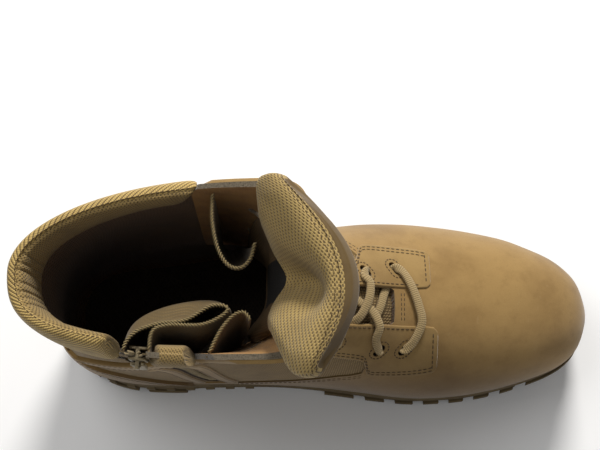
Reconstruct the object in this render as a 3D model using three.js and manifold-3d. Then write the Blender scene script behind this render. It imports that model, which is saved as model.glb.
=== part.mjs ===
// Combat boot for the left foot, with a zip on the inner side of the shaft.
// Millimetres. X runs from heel to toe, Y towards the outer (lateral) side, Z up.
import * as THREE from "three";
import { mergeVertices } from "three/addons/utils/BufferGeometryUtils.js";
import Module from "manifold-3d";

const wasm = await Module();
wasm.setup();
const { lerp, clamp, smoothstep, degToRad } = THREE.MathUtils;

// Driving dimensions of the last and shaft
const footLength = 305; // heel back to toe tip of the upper
const ballWidth = 102; // widest part of the forefoot
const heelSeat = 27; // floor to the upper's lower edge, at the heel
const ballSeat = 16; // the same at the ball
const toeSeat = 25; // the same at the toe tip
const instepHeight = 118; // heel seat to the bend of the instep
const shaftHeight = 228; // floor to the top of the shaft's front
const upperWall = 2.6; // leather or nylon with its lining
const clearance = 0.3; // between pieces that touch

// Sole
const outsoleForefoot = 9; // plate and lugs together
const outsoleHeel = 11;
const lugDepth = 4.5;
const lugProud = 1.8; // how far the edge lugs stand out sideways
const channelWidth = 6; // between two lugs
const centreChannelWidth = 5;
const archRise = 8; // floor to the outsole under the waist
const toeSpring = 14;
const heelBevel = 5; // lift of the heel's rear edge
const heelLength = 68; // heel back to the heel's breast
const soleMargin = 0.8; // how far the sole's edge passes the upper
const rimHeight = 6.5; // midsole rim above the upper's lower edge
const bumperRise = 6; // outsole's extra height at the toe
const midsoleGroove = 1; // depth of the side grooves
const heelRibWidth = 5;
const heelRibProud = 1.2;
const insoleThickness = 4.5;
const marginWidth = 4.6; // the upper's edge turned in under the foot

// Overlays and lacing
const overlayThickness = 1.7;
const vampStep = 0.9; // the vamp's leather stands this far out of the nylon
const throatGap = 18; // between the facings at the lowest eyelets
const throatGapTop = 66; // between them at the top
const throatDepth = 20; // the throat's cut, behind the front line
const eyeletRows = 8;
const eyeletSetback = 15; // facing edge to eyelet
const slotLength = 9;
const slotWidth = 4.6;
const laceWidth = 5;
const laceThickness = 3.2;

// Collar pads
const padHeight = 36;
const padOutward = 5; // how far the pad bulges out of the shaft's face
const padInward = 8; // and into the shaft
const padSlant = 0.1; // turn, in radians, that keeps that end upright beside the zip
const padLean = 9; // how far the rear pad's end by the zip leans inward

// Zip
const zipGapWidth = 9.6; // slit in the shaft
const zipChainWidth = 5.6;
const zipChainThickness = 2.4;
const zipTapeThickness = 0.8;
const zipOpenLength = 20; // opened length at the top
const zipSpread = 1.5; // extra half width of the opening at the top
const zipTopX = 60.5;
const zipBottomX = 88;
const zipBottomHeight = 58; // floor to the zip's lower stop
const sliderWidth = 8.4;
const sliderLength = 11;
const plateThickness = 1.4;
const bailLength = 6; // bridge over the slider's face
const bailBar = 1.2;
const bailWidth = 1.8;
const pinRadius = 0.7; // the pull's crossbar under the bridge
const pinLift = 1.5; // slider face to the crossbar's axis
const pullLength = 20;
const pullWidth = 7;
const pullThickness = 1.6;
const pullWindow = 5.6; // opening in the pull for the bridge
const tabHeight = 20;
const tabTop = 184; // floor to the tab's upper edge
const tabThickness = 2.6;
const gussetThickness = 1.2;
const zipFoldReach = 48; // how far the fold behind the zip could reach forward
const tabLift = 5; // how far the tab's free end stands off the shaft

// Tongue
const tongueThickness = 4.5;
const tonguePad = 12.5; // thickness of the padded top
const tongueWidth = 92;
const tongueGap = 1.5; // between the tongue's face and the lining

// Mesh fineness
const ringPoints = 24;

const bendHeight = heelSeat + instepHeight;

// Heights are given as levels: 0 is the base, 1 the bend of the instep, 2 the top of the shaft.
function heightOf(level, base = heelSeat) {
  if (level <= 1) return lerp(base, bendHeight, level);
  return lerp(bendHeight, shaftHeight, level - 1);
}

// Height of the upper's lower edge along the foot.
function seatHeight(x) {
  const share = x / footLength;
  const fall = smoothstep(share, 0.24, 0.64);
  const rise = Math.max(0, (share - 0.66) / 0.34) ** 2;
  return lerp(heelSeat, ballSeat, fall) + (toeSeat - ballSeat) * rise;
}

// Sections of the last, from the toe tip back to the heel and up to the collar. Each runs
// from a point on the sole or heel line (backX, backLevel) to one on the front line (topX,
// topLevel). X values are shares of footLength; lateral, medial and ridge are shares of
// ballWidth. widest is where along the section it is broadest. lowOut, lowIn and high are
// how square it is below that place, outer and inner side, and above it.
const lastColumns = ["topX", "topLevel", "backX", "backLevel", "lateral", "medial", "ridge",
  "widest", "lowOut", "lowIn", "high"];
const lastRows = [
  [1.0, 0.18, 1.0, 0.13, 0.03, -0.01, 0.02, 0.5, 2, 2, 2],
  [0.997, 0.22, 0.997, 0.08, 0.105, 0.065, 0.02, 0.45, 2.6, 2.6, 2.1],
  [0.985, 0.28, 0.985, 0.035, 0.215, 0.165, 0.02, 0.37, 4, 4, 2.2],
  [0.965, 0.33, 0.965, 0.01, 0.29, 0.232, 0.025, 0.33, 6, 6, 2.3],
  [0.935, 0.373, 0.935, 0, 0.358, 0.285, 0.03, 0.31, 7, 7, 2.3],
  [0.89, 0.411, 0.89, 0, 0.42, 0.335, 0.03, 0.3, 7, 7, 2.3],
  [0.84, 0.44, 0.84, 0, 0.476, 0.378, 0.025, 0.3, 7, 7, 2.2],
  [0.77, 0.466, 0.77, 0, 0.521, 0.418, 0.02, 0.3, 7, 7, 2.1],
  [0.7, 0.5, 0.7, 0, 0.55, 0.434, 0.015, 0.3, 7, 7, 2.0],
  [0.64, 0.55, 0.64, 0, 0.56, 0.428, 0.01, 0.3, 7, 7, 1.95],
  [0.585, 0.627, 0.56, 0, 0.552, 0.4, 0.008, 0.3, 7, 7, 1.9],
  [0.535, 0.708, 0.485, 0, 0.52, 0.378, 0, 0.31, 7, 7, 1.85],
  [0.492, 0.797, 0.395, 0, 0.475, 0.365, 0, 0.33, 7, 7, 1.85],
  [0.465, 0.89, 0.295, 0, 0.435, 0.363, 0, 0.35, 7, 7, 1.9],
  [0.448, 0.983, 0.195, 0, 0.4, 0.365, 0, 0.38, 6.5, 6.5, 2.0],
  [0.438, 1.1, 0.105, 0, 0.378, 0.362, 0, 0.41, 6, 6, 2.1],
  [0.432, 1.205, 0.04, 0.01, 0.365, 0.355, 0, 0.44, 4, 4, 2.3],
  [0.429, 1.31, 0.006, 0.11, 0.36, 0.353, 0, 0.46, 3, 3, 2.5],
  [0.428, 1.42, 0.0, 0.297, 0.363, 0.357, 0, 0.48, 2.7, 2.7, 2.8],
  [0.43, 1.53, 0.01, 0.55, 0.368, 0.363, 0, 0.52, 2.5, 2.6, 3.1],
  [0.434, 1.645, 0.026, 0.83, 0.373, 0.368, 0, 0.57, 2.4, 2.6, 3.5],
  [0.441, 1.76, 0.03, 1.12, 0.383, 0.376, 0, 0.63, 2.2, 2.6, 4],
  [0.451, 1.88, 0.022, 1.49, 0.395, 0.392, 0, 0.7, 2.1, 2.6, 4.5],
  [0.465, 2.0, 0.006, 1.9, 0.405, 0.415, 0, 0.78, 2.0, 2.6, 5],
];
const lastStation = lastRows.length - 1;
const toeRows = 8; // rows in which the plan outline still turns round the toe

// Smooth curve through equally spaced values, at place t.
function splineThrough(values, t) {
  const i = clamp(Math.floor(t), 0, values.length - 2);
  const u = t - i;
  const p1 = values[i];
  const p2 = values[i + 1];
  const p0 = values[i - 1] ?? 2 * p1 - p2;
  const p3 = values[i + 2] ?? 2 * p2 - p1;
  const a = (p2 - p0) / 2;
  const b = (p3 - p1) / 2;
  const cubic = (2 * p1 - 2 * p2 + a + b) * u ** 3;
  const square = (3 * p2 - 3 * p1 - 2 * a - b) * u ** 2;
  return cubic + square + a * u + p1;
}

// A table as one list of values for each column name.
function columnsOf(names, rows) {
  return Object.fromEntries(names.map((name, i) => [name, rows.map((row) => row[i])]));
}

// Every column of a table at place t.
function tableAt(columns, t) {
  return Object.fromEntries(
    Object.entries(columns).map(([name, values]) => [name, splineThrough(values, t)]),
  );
}

const last = columnsOf(lastColumns, lastRows);

// The section at station t, moved outward by offset all round.
function sectionAt(t, offset = 0) {
  const lines = (place) => {
    const row = tableAt(last, Math.max(place, 0));
    const backX = row.backX * footLength;
    return {
      row,
      top: new THREE.Vector2(row.topX * footLength, heightOf(row.topLevel)),
      back: new THREE.Vector2(backX, heightOf(row.backLevel, seatHeight(backX))),
    };
  };
  const step = 0.05;
  const here = lines(t);
  const before = lines(t - step);
  const after = lines(t + step);
  const topRun = after.top.clone().sub(before.top).normalize();
  const backRun = after.back.clone().sub(before.back).normalize();
  const reachIn = (after.row.topX - before.row.topX) * footLength;
  const reachOut = (after.row.lateral - before.row.lateral) * ballWidth;
  const side = t < toeRows ? Math.abs(reachIn) / Math.hypot(reachIn, reachOut) : 1;
  return {
    ...here.row,
    top: here.top.add(new THREE.Vector2(topRun.y, -topRun.x).multiplyScalar(offset)),
    back: here.back.add(new THREE.Vector2(-backRun.y, backRun.x).multiplyScalar(offset)),
    lateral: here.row.lateral * ballWidth + offset * side,
    medial: here.row.medial * ballWidth + offset * side,
    ridge: here.row.ridge * ballWidth,
  };
}

// A point of a section. angle is 0 on the sole or heel line and half a turn on the front
// line; the outer side lies between, the inner side beyond.
function pointOn(section, angle) {
  const c = Math.cos(angle);
  const s = Math.sin(angle);
  const outer = s >= 0;
  const low = outer ? section.lowOut : section.lowIn;
  const power = 2 / (c > 0 ? low : section.high);
  const along = c > 0
    ? section.widest * (1 - c ** power)
    : section.widest + (1 - section.widest) * (-c) ** power;
  const half = outer ? section.lateral - section.ridge : section.medial + section.ridge;
  const across = Math.abs(s) ** power * half * (outer ? 1 : -1);
  const line = section.back.clone().lerp(section.top, along);
  return new THREE.Vector3(line.x, section.ridge + across, line.y);
}

// The station and angle at which the last's side, outer 1 or inner -1, is seen at (x, z).
function placeOn(x, z, side, offset = 0) {
  const target = new THREE.Vector2(x, z);
  const sideOf = (t) => {
    const section = sectionAt(t, offset);
    const run = section.top.clone().sub(section.back);
    return run.cross(target.clone().sub(section.back));
  };
  let low = 1;
  let high = lastStation;
  for (let i = 0; i < 30; i += 1) {
    const middle = (low + high) / 2;
    if (sideOf(middle) > 0) low = middle;
    else high = middle;
  }
  const t = (low + high) / 2;
  const section = sectionAt(t, offset);
  const length = section.top.distanceTo(section.back);
  const share = clamp(target.distanceTo(section.back) / length, 0.001, 0.999);
  const near = share < section.widest;
  const power = (side > 0 ? section.lowOut : section.lowIn) / 2;
  const c = near
    ? (1 - share / section.widest) ** power
    : -(((share - section.widest) / (1 - section.widest)) ** (section.high / 2));
  return { t, angle: Math.acos(clamp(c, -1, 1)) * side };
}

// The point of the last's side at (x, z), and the outward normal there.
function sidePoint(x, z, side, offset = 0) {
  const { t, angle } = placeOn(x, z, side);
  const at = pointOn(sectionAt(t, offset), angle);
  const inner = pointOn(sectionAt(t, offset - 1), angle);
  const step = 0.1;
  const alongT = pointOn(sectionAt(Math.min(t + step, lastStation), offset), angle).sub(
    pointOn(sectionAt(t - step, offset), angle),
  );
  const alongAngle = pointOn(sectionAt(t, offset), angle + step).sub(
    pointOn(sectionAt(t, offset), angle - step),
  );
  const normal = alongT.cross(alongAngle).normalize();
  if (normal.dot(at.clone().sub(inner)) < 0) normal.negate();
  return { at, normal };
}

// Solids from closed meshes

// A closed mesh as a solid for cutting and joining, its faces turned outward.
function solidFrom(geometry) {
  const bare = geometry.index ? geometry.clone() : geometry;
  const positions = new THREE.BufferGeometry();
  positions.setAttribute("position", bare.getAttribute("position"));
  if (bare.index) positions.setIndex(bare.index);
  const merged = mergeVertices(positions, 1e-4);
  const vertProperties = new Float32Array(merged.attributes.position.array);
  const make = (triVerts) =>
    new wasm.Manifold(new wasm.Mesh({ numProp: 3, vertProperties, triVerts }));
  const triangles = new Uint32Array(merged.index.array);
  const made = make(triangles);
  return made.volume() > 0 ? made : make(triangles.slice().reverse());
}

// A geometry class's solid, turned and moved into place.
function placed(geometry, matrix) {
  return solidFrom(geometry.clone().applyMatrix4(matrix));
}

// A solid through rings of equally many points, closed by a flat fan at each end.
function loftSolid(rings) {
  const count = rings[0].length;
  const centreOf = (ring) =>
    ring.reduce((sum, p) => sum.add(p), new THREE.Vector3()).divideScalar(count);
  const points = [...rings.flat(), centreOf(rings[0]), centreOf(rings.at(-1))];
  const faces = [];
  for (let i = 0; i < rings.length - 1; i += 1) {
    for (let k = 0; k < count; k += 1) {
      const next = (k + 1) % count;
      const a = i * count + k;
      const b = i * count + next;
      faces.push(a, b, b + count, a, b + count, a + count);
    }
  }
  const lastRing = (rings.length - 1) * count;
  for (let k = 0; k < count; k += 1) {
    const next = (k + 1) % count;
    faces.push(points.length - 2, next, k);
    faces.push(points.length - 1, lastRing + k, lastRing + next);
  }
  const geometry = new THREE.BufferGeometry().setFromPoints(points).setIndex(faces);
  return solidFrom(geometry);
}

// A box from its lowest to its highest corner.
function boxSolid(low, high) {
  const size = high.map((value, i) => value - low[i]);
  const centre = high.map((value, i) => (value + low[i]) / 2);
  return placed(
    new THREE.BoxGeometry(...size),
    new THREE.Matrix4().makeTranslation(...centre),
  );
}

// A prism across the boot: an outline in X and Z, pushed from y0 to y1.
function sidePrism(outline, y0, y1) {
  const shape = new THREE.Shape(outline.map(([x, z]) => new THREE.Vector2(x, z)));
  const geometry = new THREE.ExtrudeGeometry(shape, {
    depth: y1 - y0,
    bevelEnabled: false,
    curveSegments: 8,
  });
  const turn = new THREE.Matrix4().makeRotationX(Math.PI / 2).setPosition(0, y1, 0);
  return placed(geometry, turn);
}

const reach = 400; // longer than the boot, for cutters that pass right through

// The last as a solid, moved outward by offset and drawn out beyond its top.
function formSolid(offset, beyond = 0) {
  const rings = [];
  const stations = [...last.topX.keys()];
  if (beyond) stations.push(lastStation + beyond);
  for (const t of stations) {
    const section = sectionAt(t, offset);
    const ring = [];
    for (let k = 0; k < ringPoints; k += 1) {
      ring.push(pointOn(section, (k / ringPoints) * Math.PI * 2));
    }
    rings.push(ring);
  }
  return loftSolid(rings);
}

// A patch of the shell: stations t0 to t1 and angles a0 to a1, between two offsets.
function shellPatch(t0, t1, a0, a1, inside, outside, steps) {
  const stations = [0, 0.25, 0.5, 0.75, 1].map((share) => lerp(t0, t1, share));
  const rings = [];
  for (let i = 0; i <= steps; i += 1) {
    const angle = lerp(a0, a1, i / steps);
    const inner = stations.map((t) => pointOn(sectionAt(t, inside), angle));
    const outer = stations.map((t) => pointOn(sectionAt(t, outside), angle));
    rings.push([...inner, ...outer.reverse()]);
  }
  return loftSolid(rings);
}

// Sole

// Outline of the foot at the sole's edge: x is a share of footLength, the outer and inner
// reach are shares of ballWidth.
const outlineRows = [
  [0, 0.02, 0.02],
  [0.006, 0.11, 0.11],
  [0.022, 0.2, 0.2],
  [0.05, 0.277, 0.275],
  [0.09, 0.333, 0.33],
  [0.14, 0.367, 0.36],
  [0.21, 0.382, 0.368],
  [0.3, 0.405, 0.36],
  [0.4, 0.452, 0.358],
  [0.5, 0.515, 0.378],
  [0.6, 0.556, 0.418],
  [0.68, 0.562, 0.438],
  [0.77, 0.528, 0.423],
  [0.84, 0.482, 0.384],
  [0.89, 0.427, 0.341],
  [0.935, 0.364, 0.291],
  [0.965, 0.296, 0.238],
  [0.985, 0.221, 0.171],
  [0.997, 0.111, 0.071],
  [1.0, 0.036, -0.004],
];
const outline = columnsOf(["x", "lateral", "medial"], outlineRows);
const outlineEnd = outlineRows.length - 1;

// The sole's edge at place t of the outline, moved outward by offset: outer and inner point.
function edgeAt(t, offset) {
  const at = (place) => {
    const row = tableAt(outline, clamp(place, 0, outlineEnd));
    return {
      x: row.x * footLength,
      lateral: row.lateral * ballWidth,
      medial: row.medial * ballWidth,
    };
  };
  const step = 0.05;
  const here = at(t);
  const before = at(t - step);
  const after = at(t + step);
  const moved = (key, sign) => {
    const run = new THREE.Vector2(after.x - before.x, after[key] - before[key]).normalize();
    return new THREE.Vector2(here.x - run.y * offset, sign * (here[key] + run.x * offset));
  };
  return [moved("lateral", 1), moved("medial", -1)];
}

// Height of the ground contact: a bevel behind the heel and the spring of the toe.
function groundHeight(x) {
  const share = x / footLength;
  const bevel = heelBevel * (1 - smoothstep(share, -0.02, 0.04));
  const spring = toeSpring * Math.max(0, (share - 0.74) / 0.26) ** 1.8;
  return bevel + spring;
}

// The raised waist between heel and forefoot, from 0 to 1.
function waist(x) {
  const breast = smoothstep(x, heelLength - 2, heelLength + 10);
  return breast * (1 - smoothstep(x, 0.4 * footLength, 0.5 * footLength));
}

function outsoleTop(x) {
  const thickness = lerp(outsoleHeel, outsoleForefoot, smoothstep(x / footLength, 0.24, 0.5));
  const bumper = bumperRise * smoothstep(x / footLength, 0.93, 1);
  return groundHeight(x) + thickness + bumper + waist(x) * 2;
}

function rimTop(x) {
  return seatHeight(x) + rimHeight;
}

// A solid with the sole's outline. levels holds [share of the height, outward offset] pairs
// from bottom to top; the height runs from bottomOf(x) to topOf(x).
function soleSolid(levels, bottomOf, topOf) {
  const rings = [];
  for (let t = 0; t <= outlineEnd; t += 1) {
    const edge = levels.map(([share, offset]) => {
      const [outer, inner] = edgeAt(t, offset);
      const height = (x) => lerp(bottomOf(x), topOf(x), share);
      return [
        new THREE.Vector3(outer.x, outer.y, height(outer.x)),
        new THREE.Vector3(inner.x, inner.y, height(inner.x)),
      ];
    });
    const outerEdge = edge.map(([outer]) => outer);
    const innerEdge = edge.map(([, inner]) => inner).reverse();
    rings.push([...outerEdge, ...innerEdge]);
  }
  return loftSolid(rings);
}

// Centres of the channels across the outsole, as shares of footLength, and the turn of each
// in degrees.
const channelRows = [
  [0.075, -10],
  [0.145, -4],
  [0.545, 10],
  [0.61, 8],
  [0.675, 5],
  [0.74, 0],
  [0.805, -6],
  [0.87, -12],
  [0.93, -18],
];

// One channel across the sole, from under the floor to height depth above the ground line.
function channelCutter(share, turn, depth) {
  const x = share * footLength;
  const below = 2;
  const size = new THREE.BoxGeometry(channelWidth, reach, depth + below);
  const matrix = new THREE.Matrix4()
    .makeRotationZ(degToRad(turn))
    .setPosition(x, 0, groundHeight(x) + (depth - below) / 2);
  return placed(size, matrix);
}

function outsole() {
  const bottom = (x) => groundHeight(x) + waist(x) * archRise;
  const plate = soleSolid([[0, -1.5], [0.25, soleMargin - 0.5], [1, soleMargin]], bottom, outsoleTop);
  const edgeLugs = soleSolid(
    [[0, soleMargin], [0.3, soleMargin + lugProud], [1, soleMargin + lugProud]],
    groundHeight,
    (x) => outsoleTop(x) - 1,
  );
  const underWaist = boxSolid(
    [heelLength, -reach, -reach],
    [0.5 * footLength, reach, reach],
  );
  let lugs = edgeLugs.subtract(underWaist);
  for (const [share, turn] of channelRows) {
    lugs = lugs.subtract(channelCutter(share, turn, outsoleHeel * 2));
  }
  let made = plate.add(lugs);
  for (const [share, turn] of channelRows) {
    made = made.subtract(channelCutter(share, turn, lugDepth));
  }
  const forefoot = [0.5 * footLength + channelWidth, 0.9 * footLength];
  for (const [share, y] of [[0.5, 0.19], [0.5, -0.12]]) {
    const x = (forefoot[0] + forefoot[1]) * share;
    const length = forefoot[1] - forefoot[0];
    const channel = new THREE.BoxGeometry(length, centreChannelWidth, lugDepth * 2);
    const matrix = new THREE.Matrix4().makeTranslation(x, y * ballWidth, 0);
    made = made.subtract(placed(channel, matrix));
  }
  const heelChannel = new THREE.BoxGeometry(heelLength * 0.62, centreChannelWidth, lugDepth * 2);
  const heelPlace = new THREE.Matrix4().makeTranslation(heelLength * 0.69, 0, 0);
  return made.subtract(placed(heelChannel, heelPlace));
}

function midsole() {
  const side = soleMargin;
  const groove = soleMargin - midsoleGroove;
  const levels = [
    [0, side],
    [0.3, side],
    [0.34, groove],
    [0.44, groove],
    [0.48, side],
    [0.75, side],
    [1, side - 0.8],
  ];
  const body = soleSolid(levels, (x) => outsoleTop(x) + clearance, rimTop);
  const ribLevels = [[0.03, side + heelRibProud], [0.4, side + heelRibProud], [0.52, side - 1]];
  const ribBody = soleSolid(ribLevels, (x) => outsoleTop(x) + clearance, rimTop);
  let made = body;
  for (let x = heelLength * 0.3; x < heelLength * 1.6; x += heelRibWidth * 2.4) {
    const slice = boxSolid([x, -reach, 0], [x + heelRibWidth, reach, reach]);
    made = made.add(ribBody.intersect(slice));
  }
  // the board inside the upper's turned-in margin
  const board = soleSolid(
    [[0, -marginWidth - clearance], [1, -marginWidth - clearance]],
    (x) => seatHeight(x) - 2,
    (x) => seatHeight(x) + upperWall,
  );
  const behindToe = boxSolid([-reach, -reach, -reach], [0.9 * footLength, reach, reach]);
  const hollow = made.subtract(formSolid(vampStep + clearance));
  return hollow.add(board.intersect(behindToe));
}

// Upper

// The throat along the front line: station, how much of its width the rounded low end has,
// and how far the gap between the facings has opened from throatGap to throatGapTop.
const throatColumns = ["station", "full", "open"];
const throatRows = [
  [9.3, 0.37, 0],
  [9.38, 0.74, 0],
  [9.6, 1, 0],
  [11, 1, 0.01],
  [12, 1, 0.051],
  [13.5, 1, 0.134],
  [15.5, 1, 0.271],
  [17.5, 1, 0.4225],
  [19.5, 1, 0.615],
  [21.5, 1, 0.835],
  [23, 1, 1],
];
const throat = columnsOf(throatColumns, throatRows);

// Half of the gap between the facings at a station.
function throatHalfAt(station) {
  const after = clamp(
    throat.station.findIndex((place) => place >= station),
    1,
    throatRows.length - 1,
  );
  const from = throat.station[after - 1];
  const share = clamp((station - from) / (throat.station[after] - from), 0, 1);
  const open = lerp(throat.open[after - 1], throat.open[after], share);
  return lerp(throatGap, throatGapTop, open) / 2;
}

// The throat's cutter, a band along the front line that runs out over the top.
function throatCutter() {
  const rise = 12;
  const overrun = 30;
  const rings = throatRows.map(([station, full]) => {
    const out = sectionAt(station, rise);
    const into = sectionAt(station, 0);
    const normal = out.top.clone().sub(into.top).normalize();
    const low = into.top.clone().addScaledVector(normal, -throatDepth);
    const y = into.ridge;
    const half = throatHalfAt(station) * full;
    return [
      new THREE.Vector3(low.x, y - half, low.y),
      new THREE.Vector3(low.x, y + half, low.y),
      new THREE.Vector3(out.top.x, y + half, out.top.y),
      new THREE.Vector3(out.top.x, y - half, out.top.y),
    ];
  });
  rings.push(rings.at(-1).map((p) => p.clone().setZ(p.z + overrun)));
  return loftSolid(rings);
}

// The angle at which a section is half wide from its ridge, on its front part.
function angleAtHalf(section, half, side) {
  const width = side > 0 ? section.lateral - section.ridge : section.medial + section.ridge;
  const s = clamp(half / width, 0, 1) ** (section.high / 2);
  return side * (Math.PI - Math.asin(s));
}

// The angle reached by going a distance round a section from a start angle towards the back.
function walkAngle(section, start, distance, side) {
  let angle = start;
  let walked = 0;
  let from = pointOn(section, start);
  while (walked < distance) {
    const to = pointOn(section, angle - side * 0.01);
    walked += to.distanceTo(from);
    angle -= side * 0.01;
    from = to;
  }
  return angle;
}

const eyeletStationLow = 9.1;
const eyeletStationHigh = 20.2;

// The eyelets of one side, from the vamp up: place, outward normal and the way the slot runs.
function eyelets(side) {
  // stations at equal distances along the front line
  const samples = [];
  let run = 0;
  let previous = sectionAt(eyeletStationLow).top;
  for (let i = 0; i <= 100; i += 1) {
    const station = lerp(eyeletStationLow, eyeletStationHigh, i / 100);
    const { top } = sectionAt(station);
    run += top.distanceTo(previous);
    previous = top;
    samples.push({ station, run });
  }
  const made = [];
  for (let row = 0; row < eyeletRows; row += 1) {
    const goal = (run * row) / (eyeletRows - 1);
    const { station } = samples.find((sample) => sample.run >= goal - 1e-6);
    const section = sectionAt(station);
    const edge = angleAtHalf(section, throatHalfAt(station), side);
    const angle = walkAngle(section, edge, eyeletSetback, side);
    const from = pointOn(section, angle);
    const outer = pointOn(sectionAt(station, overlayThickness + clearance), angle);
    const ahead = pointOn(sectionAt(station - 0.3), angle);
    const behind = pointOn(sectionAt(station + 0.3), angle);
    const along = ahead.sub(behind).normalize();
    const across = pointOn(section, edge).sub(from).normalize();
    const normal = along.clone().cross(across).normalize();
    if (normal.dot(outer.clone().sub(from)) < 0) normal.negate();
    made.push({ at: outer, normal, along, across, station, edge: pointOn(section, edge) });
  }
  return made;
}

const eyeletSides = { lateral: eyelets(1), medial: eyelets(-1) };

// An eyelet's slot as a cutter through facing and upper.
function slotCutter({ at, normal, along, across }) {
  const shape = new THREE.Shape();
  const straight = (slotLength - slotWidth) / 2;
  shape.absarc(straight, 0, slotWidth / 2, -Math.PI / 2, Math.PI / 2);
  shape.absarc(-straight, 0, slotWidth / 2, Math.PI / 2, (3 * Math.PI) / 2);
  const depth = 14;
  const options = { depth, bevelEnabled: false, curveSegments: 1 };
  const geometry = new THREE.ExtrudeGeometry(shape, options);
  // the slot leans from the facing's edge towards the heel
  const long = across.clone().addScaledVector(along, 0.7).normalize();
  const wide = normal.clone().cross(long).normalize();
  const matrix = new THREE.Matrix4()
    .makeBasis(long, wide, normal)
    .setPosition(at.clone().addScaledVector(normal, -depth * 0.65));
  return placed(geometry, matrix);
}

function cutSlots(solid, side) {
  return eyeletSides[side].reduce((made, eyelet) => made.subtract(slotCutter(eyelet)), solid);
}

// The station whose heel line lies drop below the top of the shaft's back.
function stationBelow(drop) {
  const top = sectionAt(lastStation).back.y;
  let station = lastStation;
  while (top - sectionAt(station).back.y < drop) station -= 0.01;
  return station;
}

// Station at which the collar pads start, and angles of their ends
const padStation = stationBelow(padHeight);
const rearPadPlaces = { outer: 83, inner: 53.5 }; // X of the rear pad's two ends
const frontPadPlaces = { rear: 71, front: 91 }; // X of the front pad's two ends
const padMiddle = shaftHeight - padHeight / 2;
const angleAtX = (x, side) => placeOn(x, padMiddle, side).angle;

const rearPadAngles = [angleAtX(rearPadPlaces.inner, -1), angleAtX(rearPadPlaces.outer, 1)];
const frontPadAngles = [
  angleAtX(frontPadPlaces.front, -1),
  angleAtX(frontPadPlaces.rear, -1),
];

// The space of a collar pad, cut out of the upper and the facings.
function padSpace([a0, a1], margin) {
  const widen = 0.05;
  return shellPatch(
    padStation - margin,
    lastStation + 0.4,
    a0 - widen,
    a1 + widen,
    -padInward - 6,
    padOutward + 6,
    16,
  );
}

// Outline of a collar pad's section: share of its height, and offset from the shaft's face as
// a share of padOutward, or of padInward where it is negative.
const padLoop = [
  [0.0, 0.05],
  [0.1, 0.7],
  [0.35, 1.0],
  [0.7, 1.0],
  [0.92, 0.65],
  [1.0, 0.0],
  [0.98, -0.45],
  [0.85, -0.85],
  [0.55, -1.0],
  [0.25, -0.95],
  [0.06, -0.6],
  [0.0, -0.33],
];

// lean moves the top inward at the pad's first end.
function collarPad([a0, a1], steps, lean) {
  const rings = [];
  for (let i = 0; i <= steps; i += 1) {
    const share = i / steps;
    const angle = lerp(a0, a1, share);
    const swell = 0.75 + 0.25 * Math.sin(Math.PI * clamp(share * 6, 0, 0.5));
    const leaning = lean * (1 - smoothstep(share, 0, 0.35));
    rings.push(
      padLoop.map(([height, bulge]) => {
        const t = lerp(padStation + 0.035, lastStation, height);
        const offset = bulge * (bulge > 0 ? padOutward : padInward) * swell;
        const upright = angle + padSlant * height * (1 - share);
        return pointOn(sectionAt(t, offset - leaning * height ** 1.5), upright);
      }),
    );
  }
  return loftSolid(rings);
}

// The zip's line on the inner side, as X at a height.
function zipX(z) {
  const share = clamp((z - zipBottomHeight) / (shaftHeight - zipBottomHeight), 0, 1);
  return lerp(zipTopX, zipBottomX, (1 - share) ** 1.6);
}

const zipOpenHeight = shaftHeight - zipOpenLength;

// Half of the zip's opening at a height: nothing below the slider.
function zipOpening(z) {
  return zipSpread * smoothstep(z, zipOpenHeight, shaftHeight);
}

// Places at which the zip's line is drawn, as shares of its closed and of its opened length.
const zipClosedShares = [0, 0.08, 0.18, 0.31, 0.48, 0.68, 1];
const zipOpenShares = [0.4, 1, 2];

// The slit for the zip, wider where it is open.
function zipSlit() {
  const half = zipGapWidth / 2;
  const heights = [
    ...zipClosedShares.map((share) => lerp(zipBottomHeight, zipOpenHeight, share)),
    ...zipOpenShares.map((share) => lerp(zipOpenHeight, shaftHeight, share)),
  ];
  const rear = heights.map((z) => [zipX(z) - half - zipOpening(z), z]);
  const front = heights.map((z) => [zipX(z) + half + zipOpening(z), z]).reverse();
  const foot = [[zipX(zipBottomHeight) + 1, zipBottomHeight - half]];
  return sidePrism([...rear, ...front, ...foot], -reach, -6);
}

// Outline of the vamp's leather and its low band seen from the side: shares of footLength,
// and of instepHeight above the heel seat.
const bandTop = rimHeight / instepHeight - 0.005;
const vampLine = [
  [1.1, -0.4],
  [1.1, 1],
  [0.706, 1],
  [0.7, 0.38],
  [0.64, 0.38],
  [0.57, 0.36],
  [0.52, 0.31],
  [0.42, 0.24],
  [0.33, 0.19],
  [0.27, 0.14],
  [0.255, bandTop],
  [-0.1, bandTop],
  [-0.1, -0.4],
];

function vampRegion() {
  const points = vampLine.map(([x, z]) => [x * footLength, heelSeat + z * instepHeight]);
  return sidePrism(points, -reach / 2, reach / 2);
}

// The open underside, closed by the midsole.
function undersideOpening(inset) {
  return soleSolid(
    [[0, -inset], [1, -inset]],
    (x) => seatHeight(x) - 8,
    (x) => seatHeight(x) + 7,
  );
}

const outerForm = formSolid(0);
const innerForm = formSolid(-upperWall, 0.6);

function upper() {
  const vamp = formSolid(vampStep).intersect(vampRegion());
  let made = outerForm.add(vamp);
  made = made.subtract(innerForm);
  made = made.subtract(undersideOpening(marginWidth));
  made = made.subtract(throatCutter());
  made = made.subtract(padSpace(rearPadAngles, 0));
  made = made.subtract(padSpace(frontPadAngles, 0));
  made = made.subtract(zipSlit());
  made = cutSlots(made, "lateral");
  return largestOf(cutSlots(made, "medial"));
}

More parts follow.
